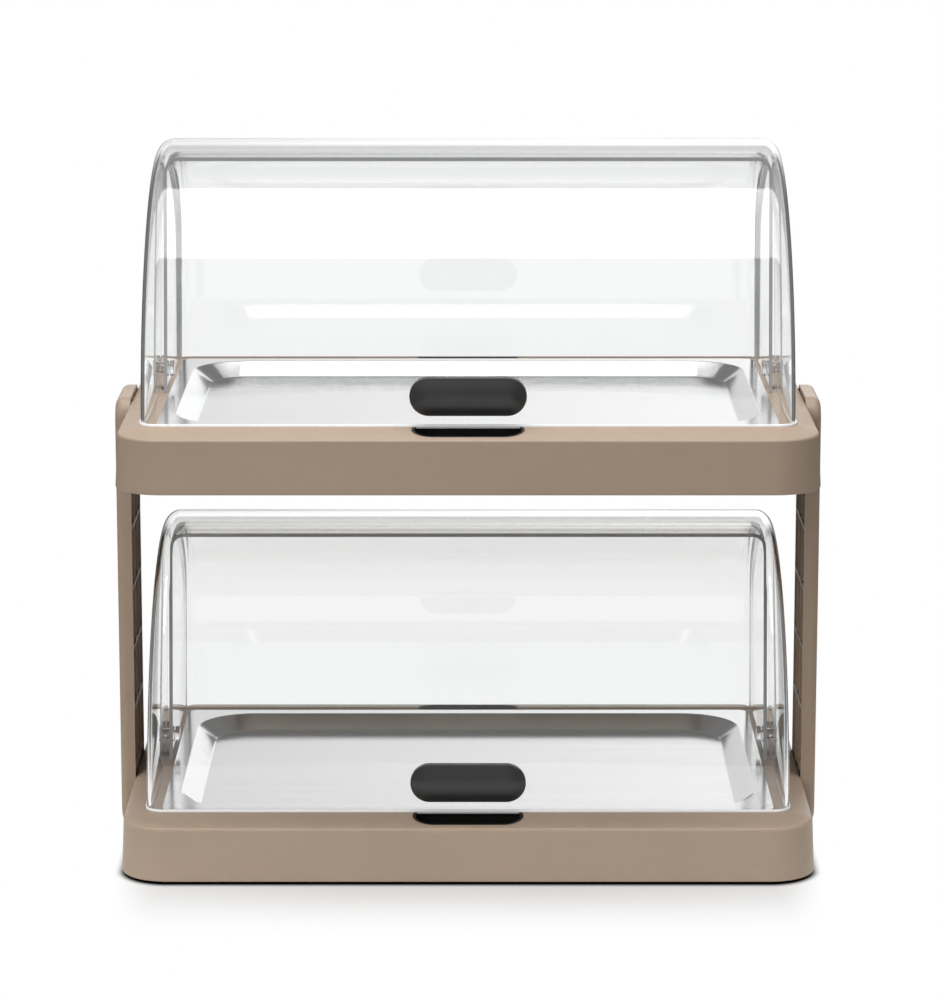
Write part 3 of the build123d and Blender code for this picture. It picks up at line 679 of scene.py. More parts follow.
def grown(name, maker, points, edges, **values):
    """Plain mesh that a Geometry Nodes tree makes from a few points."""
    seed = bpy.data.meshes.new("Seed")
    seed.from_pydata(points, edges, [])
    holder = bpy.data.objects.new("Holder", seed)
    bpy.context.scene.collection.objects.link(holder)
    modifier = holder.modifiers.new(name, "NODES")
    tree = bpy.data.node_groups.get(name) or maker()
    modifier.node_group = tree
    for socket in tree.interface.items_tree:
        key = socket.name.replace(" ", "_")
        if socket.in_out == "INPUT" and key in values:
            modifier[socket.identifier] = values[key]
    bpy.context.view_layer.update()
    mesh = bpy.data.meshes.new_from_object(holder.evaluated_get(bpy.context.evaluated_depsgraph_get()))
    bpy.data.objects.remove(holder)
    if not mesh.polygons:
        raise RuntimeError(f"{name} made no faces")
    return mesh


# Piece helpers

def smooth_mesh(node_name, details):
    """Copy of a CAD node's mesh with its loose triangles joined and its curved faces smooth."""
    mesh = frame["nodes"][node_name].data.copy()
    shape = bmesh.new()
    shape.from_mesh(mesh)
    bmesh.ops.remove_doubles(shape, verts=shape.verts, dist=details.merge_distance)
    for face in shape.faces:
        face.smooth = True
    for edge in shape.edges:
        edge.smooth = len(edge.link_faces) == 2 and edge.calc_face_angle(0.0) < details.crease_angle
    shape.to_mesh(mesh)
    shape.free()
    return mesh


def dress(node_name, material, details):
    """Show a CAD node as a smooth piece in its own material, on the node's body."""
    slots = {entry["node"]: entry["material_slot"] for entry in frame["record"]["subparts"]}
    body = frame["nodes"][node_name]["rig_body"]
    mesh = even_normals(smooth_mesh(node_name, details))
    finish_mesh(f"{node_name}_finished", mesh, (material,), body, slots[node_name], node_name)


def settings():
    """The scene's groups of settings."""
    scene = bpy.context.scene
    return (scene.display_colours, scene.display_details, scene.display_covers, scene.display_trays,
            scene.display_studio)


def finish_mesh(name, mesh, materials, body, slot, *nodes):
    """Object for a finished mesh, on a body, that stands for the given CAD nodes."""
    mesh.name = name
    piece = bpy.data.objects.new(name, mesh)
    bpy.context.scene.collection.objects.link(piece)
    places = [face.material_index for face in mesh.polygons]
    mesh.materials.clear()
    for material in materials:
        mesh.materials.append(material)
    mesh.polygons.foreach_set("material_index", places)
    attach(piece, body)
    if nodes:
        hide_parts(*nodes)
    return piece


def arc(centre, radius, start, end, step):
    """Points (y, z, normal y, normal z) round an arc; angles are measured from +Y towards +Z."""
    count = max(1, round(abs(end - start) / step))
    points = []
    for index in range(count + 1):
        angle = start + (end - start) * index / count
        ny, nz = cos(angle), sin(angle)
        points.append((centre[0] + radius * ny, centre[1] + radius * nz, ny, nz))
    return points


def upright(y, low, high, ny):
    """Points up or down an upright stretch of a cover's side outline."""
    return [(y, low + (high - low) * share, ny, 0.0) for share in (0.0, 0.5, 1.0)]


def thick_shell(rows, outer_corners, inner_corners, closing, foot, half_width, sizes, cut, hole):
    """Closed shell of one wall thickness, whose cut edges take the second material.

    rows run along the side outline from one end to the other, each with its two corner radii.
    closing runs from the last row's side point back to the first one's, round the open side of the side
    wall. One end row is cut by a plane: cut holds its index, a point of the plane and its normal.
    """
    wall, steps = sizes.wall, sizes.edge_steps
    cut_row, cut_point, cut_normal = cut

    def reach(z):
        return half_width - (z - foot) * sizes.draft

    shape = bmesh.new()
    skins = []
    for depth, corners in ((0.0, outer_corners), (wall, inner_corners)):
        grid = []
        for index, ((y, z, ny, nz), radius) in enumerate(zip(rows, corners)):
            line = []
            for side in (-1, 1):
                turns = range(steps, -1, -1) if side < 0 else range(steps + 1)
                for turn in turns:
                    angle = pi / 2 * turn / steps
                    inward = depth + radius - radius * cos(angle)
                    py, pz = y - inward * ny, z - inward * nz
                    if index == cut_row:
                        along = (-nz, ny)
                        gap = (py - cut_point[0]) * cut_normal[0] + (pz - cut_point[1]) * cut_normal[1]
                        slide = -gap / (along[0] * cut_normal[0] + along[1] * cut_normal[1])
                        py, pz = py + slide * along[0], pz + slide * along[1]
                    across = reach(pz) - depth - radius + radius * sin(angle)
                    line.append(shape.verts.new((side * across, py, pz)))
            grid.append(line)
        for first, second in zip(grid, grid[1:]):
            for column in range(len(first) - 1):
                shape.faces.new((first[column], first[column + 1], second[column + 1], second[column]))
        walls = []
        for side, column in ((-1, 0), (1, -1)):
            edge_points, ring = [
                [shape.verts.new((side * (reach(z) - depth), y, z)) for y, z in points]
                for points in (closing, hole)]
            outline = [line[column] for line in grid] + edge_points
            pairs = zip(outline, outline[1:] + outline[:1])
            edges = [shape.edges.get(pair) or shape.edges.new(pair) for pair in pairs]
            edges += [shape.edges.new(pair) for pair in zip(ring, ring[1:] + ring[:1])]
            bmesh.ops.triangle_fill(shape, edges=edges, use_beauty=True, use_dissolve=False)
            walls.append((outline[len(grid) - 1:] + outline[:1], ring + ring[:1]))
        skins.append((grid, walls))
    (outer, outer_walls), (inner, inner_walls) = skins
    loops = [(outer[0], inner[0]), (outer[-1], inner[-1])]
    for outer_wall, inner_wall in zip(outer_walls, inner_walls):
        loops += list(zip(outer_wall, inner_wall))
    for first, second in loops:
        for index in range(len(first) - 1):
            ground = shape.faces.new((first[index], first[index + 1], second[index + 1], second[index]))
            ground.material_index = 1
    bmesh.ops.recalc_face_normals(shape, faces=shape.faces)
    return shape


def smooth_and_store(shape, crease_angle):
    """Plain mesh from a bmesh, smooth but for its creases, with normals led by the larger faces."""
    for face in shape.faces:
        face.smooth = True
    for edge in shape.edges:
        edge.smooth = edge.calc_face_angle(0.0) < crease_angle
    mesh = bpy.data.meshes.new("Shell")
    shape.to_mesh(mesh)
    shape.free()
    return even_normals(mesh)


def even_normals(mesh):
    """Mesh with normals led by its larger faces and its creases kept."""
    holder = bpy.data.objects.new("Holder", mesh)
    bpy.context.scene.collection.objects.link(holder)
    weighted = holder.modifiers.new("Even normals", "WEIGHTED_NORMAL")
    weighted.keep_sharp = True
    weighted.mode = "FACE_AREA"
    bpy.context.view_layer.update()
    even = bpy.data.meshes.new_from_object(holder.evaluated_get(bpy.context.evaluated_depsgraph_get()))
    bpy.data.objects.remove(holder)
    return even


def pivot_of(tier):
    """Y and Z of a tier's cover pivots."""
    for joint in frame["joints"]:
        if joint["name"] == f"{tier}_cover_hinge":
            return joint["pos_m"][1], joint["pos_m"][2]
    raise RuntimeError(f"the frame has no hinge for the {tier} cover")


def ring_points(centre, radius, count):
    """Points (y, z) of a full circle."""
    turns = [2 * pi * index / count for index in range(count)]
    return [(centre[0] + radius * cos(turn), centre[1] + radius * sin(turn)) for turn in turns]


def front_shell(tier, sizes, crease_angle):
    """Mesh of a tier's moving shell."""
    y, z = pivot_of(tier)
    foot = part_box(f"{tier}_front_cover")[0][2]
    turn = sizes.trailing_angle
    along = (-cos(turn), sin(turn))
    across = (along[1], -along[0])
    end = turn + asin(sizes.lug_radius / sizes.front_radius)
    rows = upright(y - sizes.front_radius, foot, z, -1.0)[:-1]
    rows += arc((y, z), sizes.front_radius, pi, pi - end, sizes.step_angle)
    corner = (y + sizes.lug_radius * across[0], z + sizes.lug_radius * across[1])
    lug = arc((y, z), sizes.lug_radius, turn - pi / 2 - 2 * (turn - pi / 2), -pi / 2, LUG_STEP)
    closing = [(point[0], point[1]) for point in lug] + [(y, foot)]
    outer = [sizes.front_edge] * len(rows)
    inner = [sizes.front_edge - sizes.wall] * len(rows)
    hole = ring_points((y, z), sizes.hole_radius, HOLE_POINTS)
    cut = len(rows) - 1, corner, across
    shell = thick_shell(rows, outer, inner, closing, foot, sizes.front_half_width, sizes, cut, hole)
    return smooth_and_store(shell, crease_angle)


def handle_plate(tier, sizes, details):
    """Domed pill-shaped plate, bedded on the curve of the moving shell."""
    low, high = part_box(f"{tier}_handle")
    pivot_y, pivot_z = pivot_of(tier)
    bed = sizes.front_radius + details.bed_gap
    middle_z = (low[2] + high[2]) / 2
    half_height = (high[2] - low[2]) / 2
    straight = (high[0] - low[0]) / 2 - half_height
    shape = bmesh.new()
    rings = []
    for step in range(details.dome_steps + 1):
        turn = pi / 2 * step / details.dome_steps
        inset = details.dome_edge * (1 - cos(turn)) if step < details.dome_steps else details.dome_edge
        rings.append((inset, details.dome_edge * (1 - sin(turn)) + details.dome_rise))
    for step in range(1, details.dome_steps + 1):
        share = step / details.dome_steps
        inset = details.dome_edge + (half_height - details.dome_edge) * share
        rings.append((min(inset, half_height * DOME_REACH), details.dome_rise * (1 - share) ** 2))
    outline = [(1, pi / 2 - pi * step / details.dome_turns) for step in range(details.dome_turns + 1)]
    outline += [(-1, -pi / 2 - pi * step / details.dome_turns) for step in range(details.dome_turns + 1)]
    loops = []
    back = []
    for side, angle in outline:
        x, z = side * straight + half_height * cos(angle), middle_z + half_height * sin(angle)
        back.append(shape.verts.new((x, pivot_y - sqrt(bed ** 2 - (z - pivot_z) ** 2), z)))
    loops.append(back)
    for inset, depth in rings:
        radius = half_height - inset
        y = low[1] + depth
        points = [(side * straight + radius * cos(angle), y, middle_z + radius * sin(angle))
                  for side, angle in outline]
        loops.append([shape.verts.new(point) for point in points])
    for first, second in zip(loops, loops[1:]):
        for index in range(len(first)):
            follow = (index + 1) % len(first)
            shape.faces.new((first[index], first[follow], second[follow], second[index]))
    shape.faces.new(loops[0])
    shape.faces.new(loops[-1])
    bmesh.ops.recalc_face_normals(shape, faces=shape.faces)
    return smooth_and_store(shape, details.crease_angle)


def rounded_ring(shape, half_x, half_y, radius, z, turns):
    """Points of a level rounded rectangle, the same number round every corner."""
    ring = []
    for corner, (side_x, side_y) in enumerate(((1, 1), (-1, 1), (-1, -1), (1, -1))):
        for step in range(turns + 1):
            angle = pi / 2 * (corner + step / turns)
            x = side_x * (half_x - radius) + radius * cos(angle)
            ring.append(shape.verts.new((x, side_y * (half_y - radius) + radius * sin(angle), z)))
    return ring


def bend(centre, radius, start, end, steps):
    """Points (inset, height) round one bend of a section."""
    turns = [radians(start + (end - start) * step / steps) for step in range(steps + 1)]
    return [(centre[0] + radius * cos(turn), centre[1] + radius * sin(turn)) for turn in turns]


def pressed_tray(tier, sizes, crease_angle):
    """Pressed sheet tray: flat flange, rolled lip, sloped walls and a flat floor with a soft crease."""
    low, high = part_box(f"{tier}_tray")
    top, sheet = high[2], sizes.sheet
    half_x, half_y = high[0] - sizes.flange, high[1] - sizes.flange_end
    floor = low[2] + sheet
    slope = atan2(top - floor, sizes.wall_run)
    lean = radians(90) - slope
    lip, crease = sizes.lip_radius, sizes.crease_radius
    before, after = lip * sin(slope / 2) / cos(slope / 2), crease * sin(slope / 2) / cos(slope / 2)
    steps = sizes.bend_steps
    skins = []
    for depth in (0.0, sheet):
        section = bend((-before, top - lip), lip - depth, 90, 90 - degrees(slope), steps)
        centre = sizes.wall_run + after, floor + crease
        section += bend(centre, crease + depth, 180 + degrees(lean), 270, steps)
        shape_rows = [(0.0, high[0], high[1], sizes.outer_corner, top - depth)]
        shape_rows += [(inset, half_x, half_y, sizes.dish_corner, z) for inset, z in section]
        skins.append(shape_rows)
    shape = bmesh.new()
    loops = []
    for inset, across, along, corner, z in skins[0] + skins[1][::-1]:
        loops.append(rounded_ring(
            shape, across - inset, along - inset, corner - inset, z, sizes.corner_turns))
    last = len(skins[0]) - 1
    for number, (first, second) in enumerate(zip(loops, loops[1:] + loops[:1])):
        if number == last:
            shape.faces.new(first)
            shape.faces.new(second)
            continue
        for index in range(len(first)):
            follow = (index + 1) % len(first)
            shape.faces.new((first[index], first[follow], second[follow], second[index]))
    bmesh.ops.recalc_face_normals(shape, faces=shape.faces)
    return smooth_and_store(shape, crease_angle)


def foot_path(tier, sizes):
    """Line round the foot of the moving shell that its bead follows, from pivot to pivot."""
    y, _ = pivot_of(tier)
    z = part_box(f"{tier}_front_cover")[0][2] + sizes.bead_height / 2
    out = sizes.bead / 2 + BEAD_GAP
    reach, front = sizes.front_half_width + out, y - sizes.front_radius - out
    radius = sizes.front_edge + out
    points = [(-reach, y, z)]
    for side in (-1, 1):
        for step in range(sizes.edge_steps + 1):
            turn = pi / 2 * (step if side < 0 else sizes.edge_steps - step) / sizes.edge_steps
            x = reach - radius + radius * cos(turn)
            points.append((side * x, front + radius - radius * sin(turn), z))
    return points + [(reach, y, z)]


def rear_shell(tier, sizes, crease_angle):
    """Mesh of a tier's fixed shell."""
    y, z = pivot_of(tier)
    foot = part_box(f"{tier}_rear_cover")[0][2]
    radius, blend, back = sizes.rear_radius, sizes.rear_blend, sizes.rear_back
    leading = y - radius * cos(sizes.leading_angle)
    centre_y = back - blend
    centre_z = z + sqrt((radius - blend) ** 2 - (centre_y - y) ** 2)
    meet = atan2(centre_z - z, centre_y - y)
    rows = arc((y, z), radius, pi - sizes.leading_angle, meet, sizes.step_angle)
    bend = len(rows) - 1
    rows += arc((centre_y, centre_z), blend, meet, 0.0, 2 * sizes.step_angle)[1:]
    rows += upright(back, centre_z, foot, 1.0)[1:]
    closing = [(leading, foot)]
    shares = [min(1.0, index / bend) for index in range(len(rows))]
    outer = [sizes.rear_edge + (sizes.rear_corner - sizes.rear_edge) * share for share in shares]
    first = sizes.rear_edge - sizes.wall
    inner = [first + (sizes.rear_inner_corner - first) * share for share in shares]
    hole = ring_points((y, z), sizes.hole_radius, HOLE_POINTS)
    cut = 0, (leading, z), (1.0, 0.0)
    shell = thick_shell(rows, outer, inner, closing, foot, sizes.rear_half_width, sizes, cut, hole)
    return smooth_and_store(shell, crease_angle)


# Operators

class DISPLAY_OT_bases(bpy.types.Operator):
    """Dress both moulded bases"""
    bl_idname = "display.bases"
    bl_label = "Bases"

    def execute(self, context):
        colours, details, *_ = settings()
        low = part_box("lower_base_shell")[0][2]
        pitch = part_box("upper_base_shell")[0][2] - low
        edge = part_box("lower_base_shell")[1][2] - details.rim_rounding
        # The lighter band along the rim edge is a painted highlight; its lower roughness is real polish.
        plastic = moulded_plastic(
            "base_plastic", colours.base, rub_height=edge, rub_repeat=pitch, rub_width=0.0028)
        for tier in TIERS:
            dress(f"{tier}_base_shell", plastic, details)
        return {"FINISHED"}


class DISPLAY_OT_posts(bpy.types.Operator):
    """Dress the two side posts"""
    bl_idname = "display.posts"
    bl_label = "Side posts"

    def execute(self, context):
        colours, details, *_ = settings()
        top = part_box("left_side_post")[1][2]
        # The lighter band along the post tops is a painted highlight; its lower roughness is real polish.
        plastic = moulded_plastic(
            "post_plastic", colours.post, rub_height=top, rub_repeat=1.0, rub_width=0.004)
        for side in SIDES:
            dress(f"{side}_side_post", plastic, details)
        return {"FINISHED"}


class DISPLAY_OT_covers(bpy.types.Operator):
    """Dress the clear covers of both tiers"""
    bl_idname = "display.covers"
    bl_label = "Covers"

    def execute(self, context):
        colours, details, sizes, *_ = settings()
        clear = clear_plastic("cover_plastic", colours.cover, shadow=0.95)
        edge = ground_edge("cover_edge", colours.cut_edge)
        # The bead's near-white ground finish is a painted highlight along the cover's foot.
        bead_highlight = ground_edge("cover_bead", colours.bead)
        for tier in TIERS:
            front = front_shell(tier, sizes, details.crease_angle)
            finish_mesh(f"{tier}_moving_shell", front, (clear, edge), f"{tier}_roll_top", "clear_cover",
                        f"{tier}_front_cover")
            rear = rear_shell(tier, sizes, details.crease_angle)
            finish_mesh(f"{tier}_fixed_shell", rear, (clear, edge), "frame", "clear_cover",
                        f"{tier}_rear_cover")
            path = foot_path(tier, sizes)
            bead = grown("Edge Strip", edge_strip_tree, path, [(i, i + 1) for i in range(len(path) - 1)],
                         Thickness=sizes.bead, Height=sizes.bead_height, Material=bead_highlight)
            finish_mesh(f"{tier}_foot_bead", bead, (bead_highlight,), f"{tier}_roll_top", "clear_cover")
        return {"FINISHED"}


class DISPLAY_OT_pivots(bpy.types.Operator):
    """Dress the pivot brackets and pins"""
    bl_idname = "display.pivots"
    bl_label = "Pivots"

    def execute(self, context):
        colours, details, *_ = settings()
        clear = clear_plastic("pivot_plastic", colours.pivot, shadow=0.8)
        for tier in TIERS:
            for side in SIDES:
                dress(f"{tier}_{side}_pivot_bracket", clear, details)
                pin = f"{tier}_{side}_pivot_pin"
                dress(pin, clear, details)
                low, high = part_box(pin)
                y, z = pivot_of(tier)
                cap = details.cap_thickness / 2
                x = low[0] + cap if side == "left" else high[0] - cap
                studs = grown(
                    "Stud Sleeve", stud_sleeve_tree, [(0, 0, 0)], [], Studs=details.stud_count,
                    Rows=details.stud_rows, Radius=(high[2] - low[2]) / 2, Length=details.stud_reach,
                    Stud_Size=details.stud_size, Place=(x, y, z), Turn=(0, pi / 2, 0), Material=clear)
                finish_mesh(f"{tier}_{side}_pivot_knurl", studs, (clear,), "frame", "clear_pivot")
        return {"FINISHED"}


class DISPLAY_OT_handles(bpy.types.Operator):
    """Dress the handle plates and their backings"""
    bl_idname = "display.handles"
    bl_label = "Handles"

    def execute(self, context):
        colours, details, sizes, *_ = settings()
        plastic = black_plastic("handle_plastic", colours.handle, roughness=0.34, grain_size=0.0005)
        for tier in TIERS:
            plate = handle_plate(tier, sizes, details)
            finish_mesh(f"{tier}_handle_plate", plate, (plastic,), f"{tier}_roll_top", "handle_plastic",
                        f"{tier}_handle")
            dress(f"{tier}_handle_backing", plastic, details)
        return {"FINISHED"}


class DISPLAY_OT_cups(bpy.types.Operator):
    """Dress the finger cups in the rims"""
    bl_idname = "display.cups"
    bl_label = "Finger cups"

    def execute(self, context):
        colours, details, *_ = settings()
        # Near black in every cup; in the rear cups it is painted shade of the recess's depth.
        plastic = black_plastic("cup_plastic", colours.cup, roughness=0.5, grain_size=0.0006)
        for tier in TIERS:
            for end in ("front", "rear"):
                dress(f"{tier}_{end}_recess_cup", plastic, details)
        return {"FINISHED"}


class DISPLAY_OT_trays(bpy.types.Operator):
    """Dress the stainless trays"""
    bl_idname = "display.trays"
    bl_label = "Trays"

    def execute(self, context):
        colours, details, *_ = settings()
        steel = satin_steel("tray_steel", colours.steel)
        for tier in TIERS:
            sheet = pressed_tray(tier, context.scene.display_trays, details.crease_angle)
            finish_mesh(f"{tier}_pressed_tray", sheet, (steel,), "frame", "tray_steel", f"{tier}_tray")
        return {"FINISHED"}


class DISPLAY_OT_packs(bpy.types.Operator):
    """Dress the cold packs and their caps"""
    bl_idname = "display.packs"
    bl_label = "Cold packs"

    def execute(self, context):
        colours, details, *_ = settings()
        milky = milky_plastic("pack_plastic", colours.pack)
        cap = black_plastic("pack_cap_plastic", colours.pack_cap, roughness=0.4, grain_size=0.0008)
        for tier in TIERS:
            for side in SIDES:
                dress(f"{tier}_cold_pack_{side}", milky, details)
            dress(f"{tier}_cold_pack_caps", cap, details)
            low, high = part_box(f"{tier}_cold_pack_caps")
            radius = (high[1] - low[1]) / 2
            for side, x in (("left", low[0] + radius), ("right", high[0] - radius)):
                place = (x, low[1] + radius, high[2] - details.cap_rib_length / 2)
                ribs = grown(
                    "Rib Ring", rib_ring_tree, [(0, 0, 0)], [], Ribs=details.cap_rib_count, Radius=radius,
                    Rib_Radius=details.cap_rib_size, Rib_Length=details.cap_rib_length, Place=place,
                    Material=cap)
                finish_mesh(f"{tier}_{side}_cap_grip", ribs, (cap,), "frame", "pack_cap")
        return {"FINISHED"}


class DISPLAY_OT_fasteners(bpy.types.Operator):
    """Dress the screws and the rubber feet"""
    bl_idname = "display.fasteners"
    bl_label = "Screws and feet"

    def execute(self, context):
        colours, details, *_ = settings()
        steel = plated_steel("screw_steel", colours.screw)
        rubber = black_plastic("foot_rubber", colours.foot, roughness=0.75, grain_size=0.0009)
        for tier in TIERS:
            self.handle_screws(tier, steel, details)
            self.post_screws(tier, steel, details)
        dress("rubber_feet", rubber, details)
        return {"FINISHED"}

    def screws(self, places, turn, length, radius, height, details, steel):
        """Cross-head screws whose heads stand on the given places, facing the way that turn gives."""
        straight = Euler(turn).to_matrix().inverted()
        points = [straight @ Vector(place) for place in places]
        return grown(
            "Cross-Head Screws", cross_head_screws_tree, points, [], Shank_Radius=details.shank_radius,
            Shank_Length=length, Head_Radius=radius, Head_Height=height, Turn=turn, Material=steel)

    def handle_screws(self, tier, steel, details):
        """Two screws behind a handle plate, driven from inside the cover."""
        low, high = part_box(f"{tier}_handle_screws")
        z, radius = (low[2] + high[2]) / 2, (high[2] - low[2]) / 2
        face = high[1] - details.handle_head
        places = [(side * (high[0] - radius), face, z) for side in (-1, 1)]
        turn, length = (-pi / 2, 0, 0), face - low[1]
        mesh = self.screws(places, turn, length, radius, details.handle_head, details, steel)
        finish_mesh(f"{tier}_handle_screw_pair", mesh, (steel,), f"{tier}_roll_top", "screw_steel",
                    f"{tier}_handle_screws")

    def post_screws(self, tier, steel, details):
        """Two screws at each side, driven from the hollow of a base into a post."""
        low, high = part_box(f"{tier}_post_screws")
        z, radius = (low[2] + high[2]) / 2, (high[2] - low[2]) / 2
        face = high[0] - details.post_screw_length
        for side, name in ((-1, "left"), (1, "right")):
            places = [(side * face, end * (high[1] - radius), z) for end in (-1, 1)]
            turn, length = (0, -side * pi / 2, 0), details.post_screw_length
            mesh = self.screws(places, turn, length, radius, details.post_head, details, steel)
            nodes = [f"{tier}_post_screws"] if side < 0 else []
            finish_mesh(f"{tier}_{name}_post_screw_pair", mesh, (steel,), "frame", "screw_steel", *nodes)


class DISPLAY_OT_studio(bpy.types.Operator):
    """Set up the floor, the lamps, the background and the camera"""
    bl_idname = "display.studio"
    bl_label = "Studio"

    def execute(self, context):
        *_, studio = settings()
        scene = context.scene
        scene.view_settings.view_transform = "Standard"
        self.floor(studio)
        self.world(scene, studio)
        self.lamp("Overhead softbox", (0, studio.box_back, studio.box_height), (0, 0, -1),
                  studio.box_width, studio.box_depth, studio.box_power)
        front = self.lamp("Front lamp", studio.front_place, studio.front_aim, studio.front_size,
                          studio.front_size, studio.front_power)
        front.visible_glossy = False
        front.visible_transmission = False
        camera = bpy.data.objects.new("Camera", bpy.data.cameras.new("Camera"))
        scene.collection.objects.link(camera)
        camera.data.sensor_width = SENSOR_WIDTH
        camera.data.lens = studio.lens
        camera.location = studio.camera_place
        camera.rotation_euler = (radians(90) - studio.camera_pitch, 0, 0)
        scene.camera = camera
        return {"FINISHED"}

    def looks(self, tree):
        """Factors for a straight look through clear pieces and for a look by way of a reflection."""
        light = add(tree, "ShaderNodeLightPath")
        direct = math(tree, "MAXIMUM", light.outputs["Is Camera Ray"], light.outputs["Is Transmission Ray"])
        gloss = math(tree, "MINIMUM", light.outputs["Glossy Depth"], 1.0)
        mirrored = math(tree, "MULTIPLY", gloss, math(tree, "SUBTRACT", 1.0, light.outputs["Is Diffuse Ray"]))
        straight = math(tree, "MULTIPLY", direct, math(tree, "SUBTRACT", 1.0, mirrored))
        return straight, mirrored

    def rear_panel(self, tree, vector, studio):
        """Brightness of the set in one direction: a white panel behind it and dark flags elsewhere."""
        unit = add(tree, "ShaderNodeVectorMath", operation="NORMALIZE")
        feed(tree, vector, unit.inputs[0])
        axes = add(tree, "ShaderNodeSeparateXYZ")
        feed(tree, unit.outputs[0], axes.inputs[0])
        sideways = math(tree, "ABSOLUTE", axes.outputs["X"])
        panel = ramp(tree, sideways, studio.panel_edge, studio.panel_end, 1.0, 0.0, True)
        card = math(tree, "MULTIPLY", panel, studio.front_card)
        behind = math(tree, "GREATER_THAN", axes.outputs["Y"], 0.0)
        below_top = ramp(tree, axes.outputs["Z"], studio.panel_top, studio.panel_top_end, 1.0, 0.0, True)
        panel = math(tree, "MULTIPLY", panel, below_top)
        dark, light = 1.0 - studio.panel_tilt, 1.0 + studio.panel_tilt
        tilt = ramp(tree, axes.outputs["X"], -studio.tilt_reach, studio.tilt_reach, dark, light)
        panel = math(tree, "MULTIPLY", panel, math(tree, "MULTIPLY", tilt, studio.panel_light))
        either = add(tree, "ShaderNodeMix", data_type="FLOAT")
        feed(tree, behind, either.inputs[0])
        feed(tree, card, either.inputs[2])
        feed(tree, panel, either.inputs[3])
        return math(tree, "MAXIMUM", either.outputs[0], studio.flag_shade)

    def table_strip(self, tree, vector, studio):
        """Brightness of the floor in reflections: a white strip under the display and flags beside it."""
        axes = add(tree, "ShaderNodeSeparateXYZ")
        feed(tree, vector, axes.inputs[0])
        aside = math(tree, "ABSOLUTE", axes.outputs["X"])
        return ramp(tree, aside, studio.table_edge, studio.table_end, 1.0, studio.flag_shade, True)

    def beside_base(self, tree, vector, side_stretch, corner):
        """Distance of a floor point from the outline of the base, longer at its sides by side_stretch."""
        _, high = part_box("lower_base_shell")
        folded = add(tree, "ShaderNodeVectorMath", operation="ABSOLUTE")
        feed(tree, stretched(tree, vector, (1.0, 1.0, 0.0)), folded.inputs[0])
        past = add(tree, "ShaderNodeVectorMath", operation="SUBTRACT")
        feed(tree, folded.outputs[0], past.inputs[0])
        past.inputs[1].default_value = (high[0] - corner, high[1] - corner, 0.0)
        outside = add(tree, "ShaderNodeVectorMath", operation="MAXIMUM")
        feed(tree, past.outputs[0], outside.inputs[0])
        outside.inputs[1].default_value = (0, 0, 0)
        length = add(tree, "ShaderNodeVectorMath", operation="LENGTH")
        feed(tree, stretched(tree, outside.outputs[0], (side_stretch, 1.0, 1.0)), length.inputs[0])
        return math(tree, "SUBTRACT", length.outputs["Value"], corner)

    def floor(self, studio):
        """Large pale floor that keeps the display's shadow, with a painted shadow as well: grey round the
        base and black under its outline.
        """
        mesh = bpy.data.meshes.new("Floor")
        reach = FLOOR_REACH
        mesh.from_pydata([(-reach, -reach, 0), (reach, -reach, 0), (reach, reach, 0), (-reach, reach, 0)],
                         [], [(0, 1, 2, 3)])
        ground = bpy.data.objects.new("Floor", mesh)
        bpy.context.scene.collection.objects.link(ground)
        material, tree, shader, vector = new_material("floor_white", Roughness=1.0)
        shader.inputs["Specular IOR Level"].default_value = 0.0
        shader.inputs["Emission Color"].default_value = (1, 1, 1, 1)
        straight, mirrored = self.looks(tree)
        distance = self.beside_base(tree, vector, studio.side_stretch, studio.base_corner)
        near = self.beside_base(tree, vector, 1.0, studio.base_corner)
        far = ramp(tree, distance, 0.0, studio.shade_reach, 0.0, 1.0, True)
        # Painted contact shadow: the floor turns black under the base's outline and lightens over
        # contact_reach.
        contact_shadow = ramp(tree, near, -studio.contact_reach / 3, studio.contact_reach, 0.0, 1.0, True)
        far = math(tree, "MULTIPLY", far, contact_shadow)
        lift = math(tree, "MULTIPLY", contact_shadow, studio.floor_lift)
        glow = math(tree, "MULTIPLY_ADD", far, math(tree, "SUBTRACT", 1.0, lift), lift)
        strip = math(tree, "MULTIPLY", self.table_strip(tree, vector, studio), far)
        glow = math(tree, "MULTIPLY_ADD", straight, glow, math(tree, "MULTIPLY", mirrored, strip))
        feed(tree, glow, shader.inputs["Emission Strength"])
        looked_at = math(tree, "MAXIMUM", straight, mirrored)
        bounce = ramp(tree, near, 0.0, studio.bounce_reach, studio.floor_bounce, studio.far_bounce)
        # Painted shadow: the floor close to the base is grey, fading to the white glow further out.
        shade = math(tree, "MULTIPLY", contact_shadow, studio.floor_shade)
        grey = math(tree, "MULTIPLY", shade, math(tree, "SUBTRACT", 1.0, far))
        tone = add(tree, "ShaderNodeMix", data_type="FLOAT")
        feed(tree, looked_at, tone.inputs[0])
        feed(tree, bounce, tone.inputs[2])
        feed(tree, grey, tone.inputs[3])
        feed(tree, tone.outputs[0], shader.inputs["Base Color"])
        mesh.materials.append(material)

    def world(self, scene, studio):
        """White background, dark flags in the reflections and a gentle fill for the surfaces."""
        world = bpy.data.worlds.new("Studio")
        world.use_nodes = True
        scene.world = world
        tree = world.node_tree
        back = tree.nodes["Background"]
        place = add(tree, "ShaderNodeTexCoord")
        straight, mirrored = self.looks(tree)
        panel = self.rear_panel(tree, place.outputs["Generated"], studio)
        level = math(tree, "MULTIPLY_ADD", math(tree, "SUBTRACT", panel, studio.fill), mirrored, studio.fill)
        feed(tree, math(tree, "MAXIMUM", level, straight), back.inputs["Strength"])
        back.inputs["Color"].default_value = (1, 1, 1, 1)

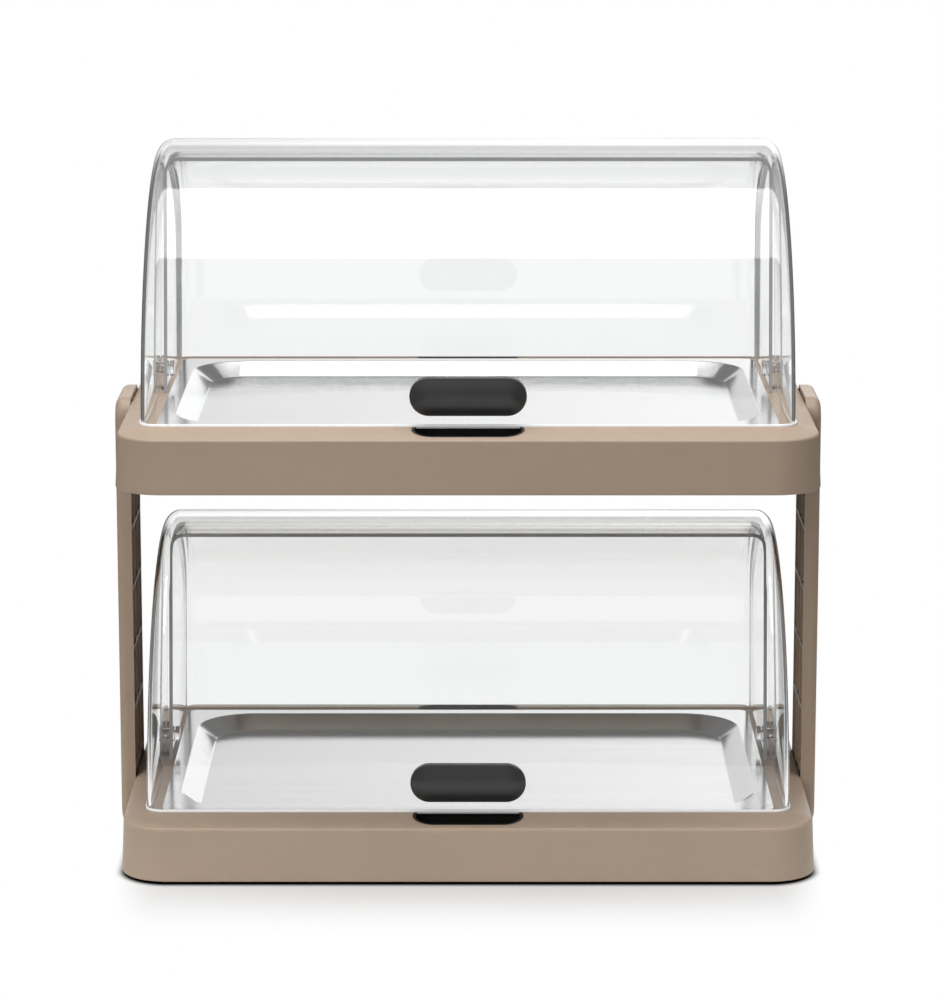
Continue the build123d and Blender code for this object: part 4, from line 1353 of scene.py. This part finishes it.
    def lamp(self, name, place, aim, width, height, power):
        """Rectangular softbox."""
        data = bpy.data.lights.new(name, "AREA")
        data.shape = "RECTANGLE"
        data.size = width
        data.size_y = height
        data.energy = power
        lamp = bpy.data.objects.new(name, data)
        bpy.context.scene.collection.objects.link(lamp)
        lamp.location = place
        lamp.rotation_euler = Vector(aim).to_track_quat("-Z", "Y").to_euler()
        lamp.visible_camera = False
        return lamp


class DISPLAY_PT_panel(bpy.types.Panel):
    """Lists the display's settings and steps"""
    bl_idname = "DISPLAY_PT_panel"
    bl_label = "Display"
    bl_space_type = "VIEW_3D"
    bl_region_type = "UI"
    bl_category = "Display"

    def draw(self, context):
        layout = self.layout
        for group in settings():
            box = layout.box()
            for name in type(group).__annotations__:
                box.prop(group, name)
        for step in STEPS:
            layout.operator(step.bl_idname)


SETTINGS = (
    ("display_colours", DisplayColours),
    ("display_details", DisplayDetails),
    ("display_covers", CoverSizes),
    ("display_trays", TraySizes),
    ("display_studio", StudioSettings),
)
STEPS = (
    DISPLAY_OT_bases,
    DISPLAY_OT_posts,
    DISPLAY_OT_covers,
    DISPLAY_OT_pivots,
    DISPLAY_OT_handles,
    DISPLAY_OT_cups,
    DISPLAY_OT_trays,
    DISPLAY_OT_packs,
    DISPLAY_OT_fasteners,
    DISPLAY_OT_studio,
)


def register():
    """Register the settings, the steps and the panel."""
    for name, group in SETTINGS:
        bpy.utils.register_class(group)
        setattr(bpy.types.Scene, name, bpy.props.PointerProperty(type=group))
    for step in STEPS:
        bpy.utils.register_class(step)
    bpy.utils.register_class(DISPLAY_PT_panel)


def unregister():
    """Take the panel, the steps and the settings out again."""
    bpy.utils.unregister_class(DISPLAY_PT_panel)
    for step in reversed(STEPS):
        bpy.utils.unregister_class(step)
    for name, group in reversed(SETTINGS):
        delattr(bpy.types.Scene, name)
        bpy.utils.unregister_class(group)


def main():
    """Build the whole scene."""
    register()
    for step in STEPS:
        area, name = step.bl_idname.split(".")
        getattr(getattr(bpy.ops, area), name)()


if __name__ == "__main__":
    main()
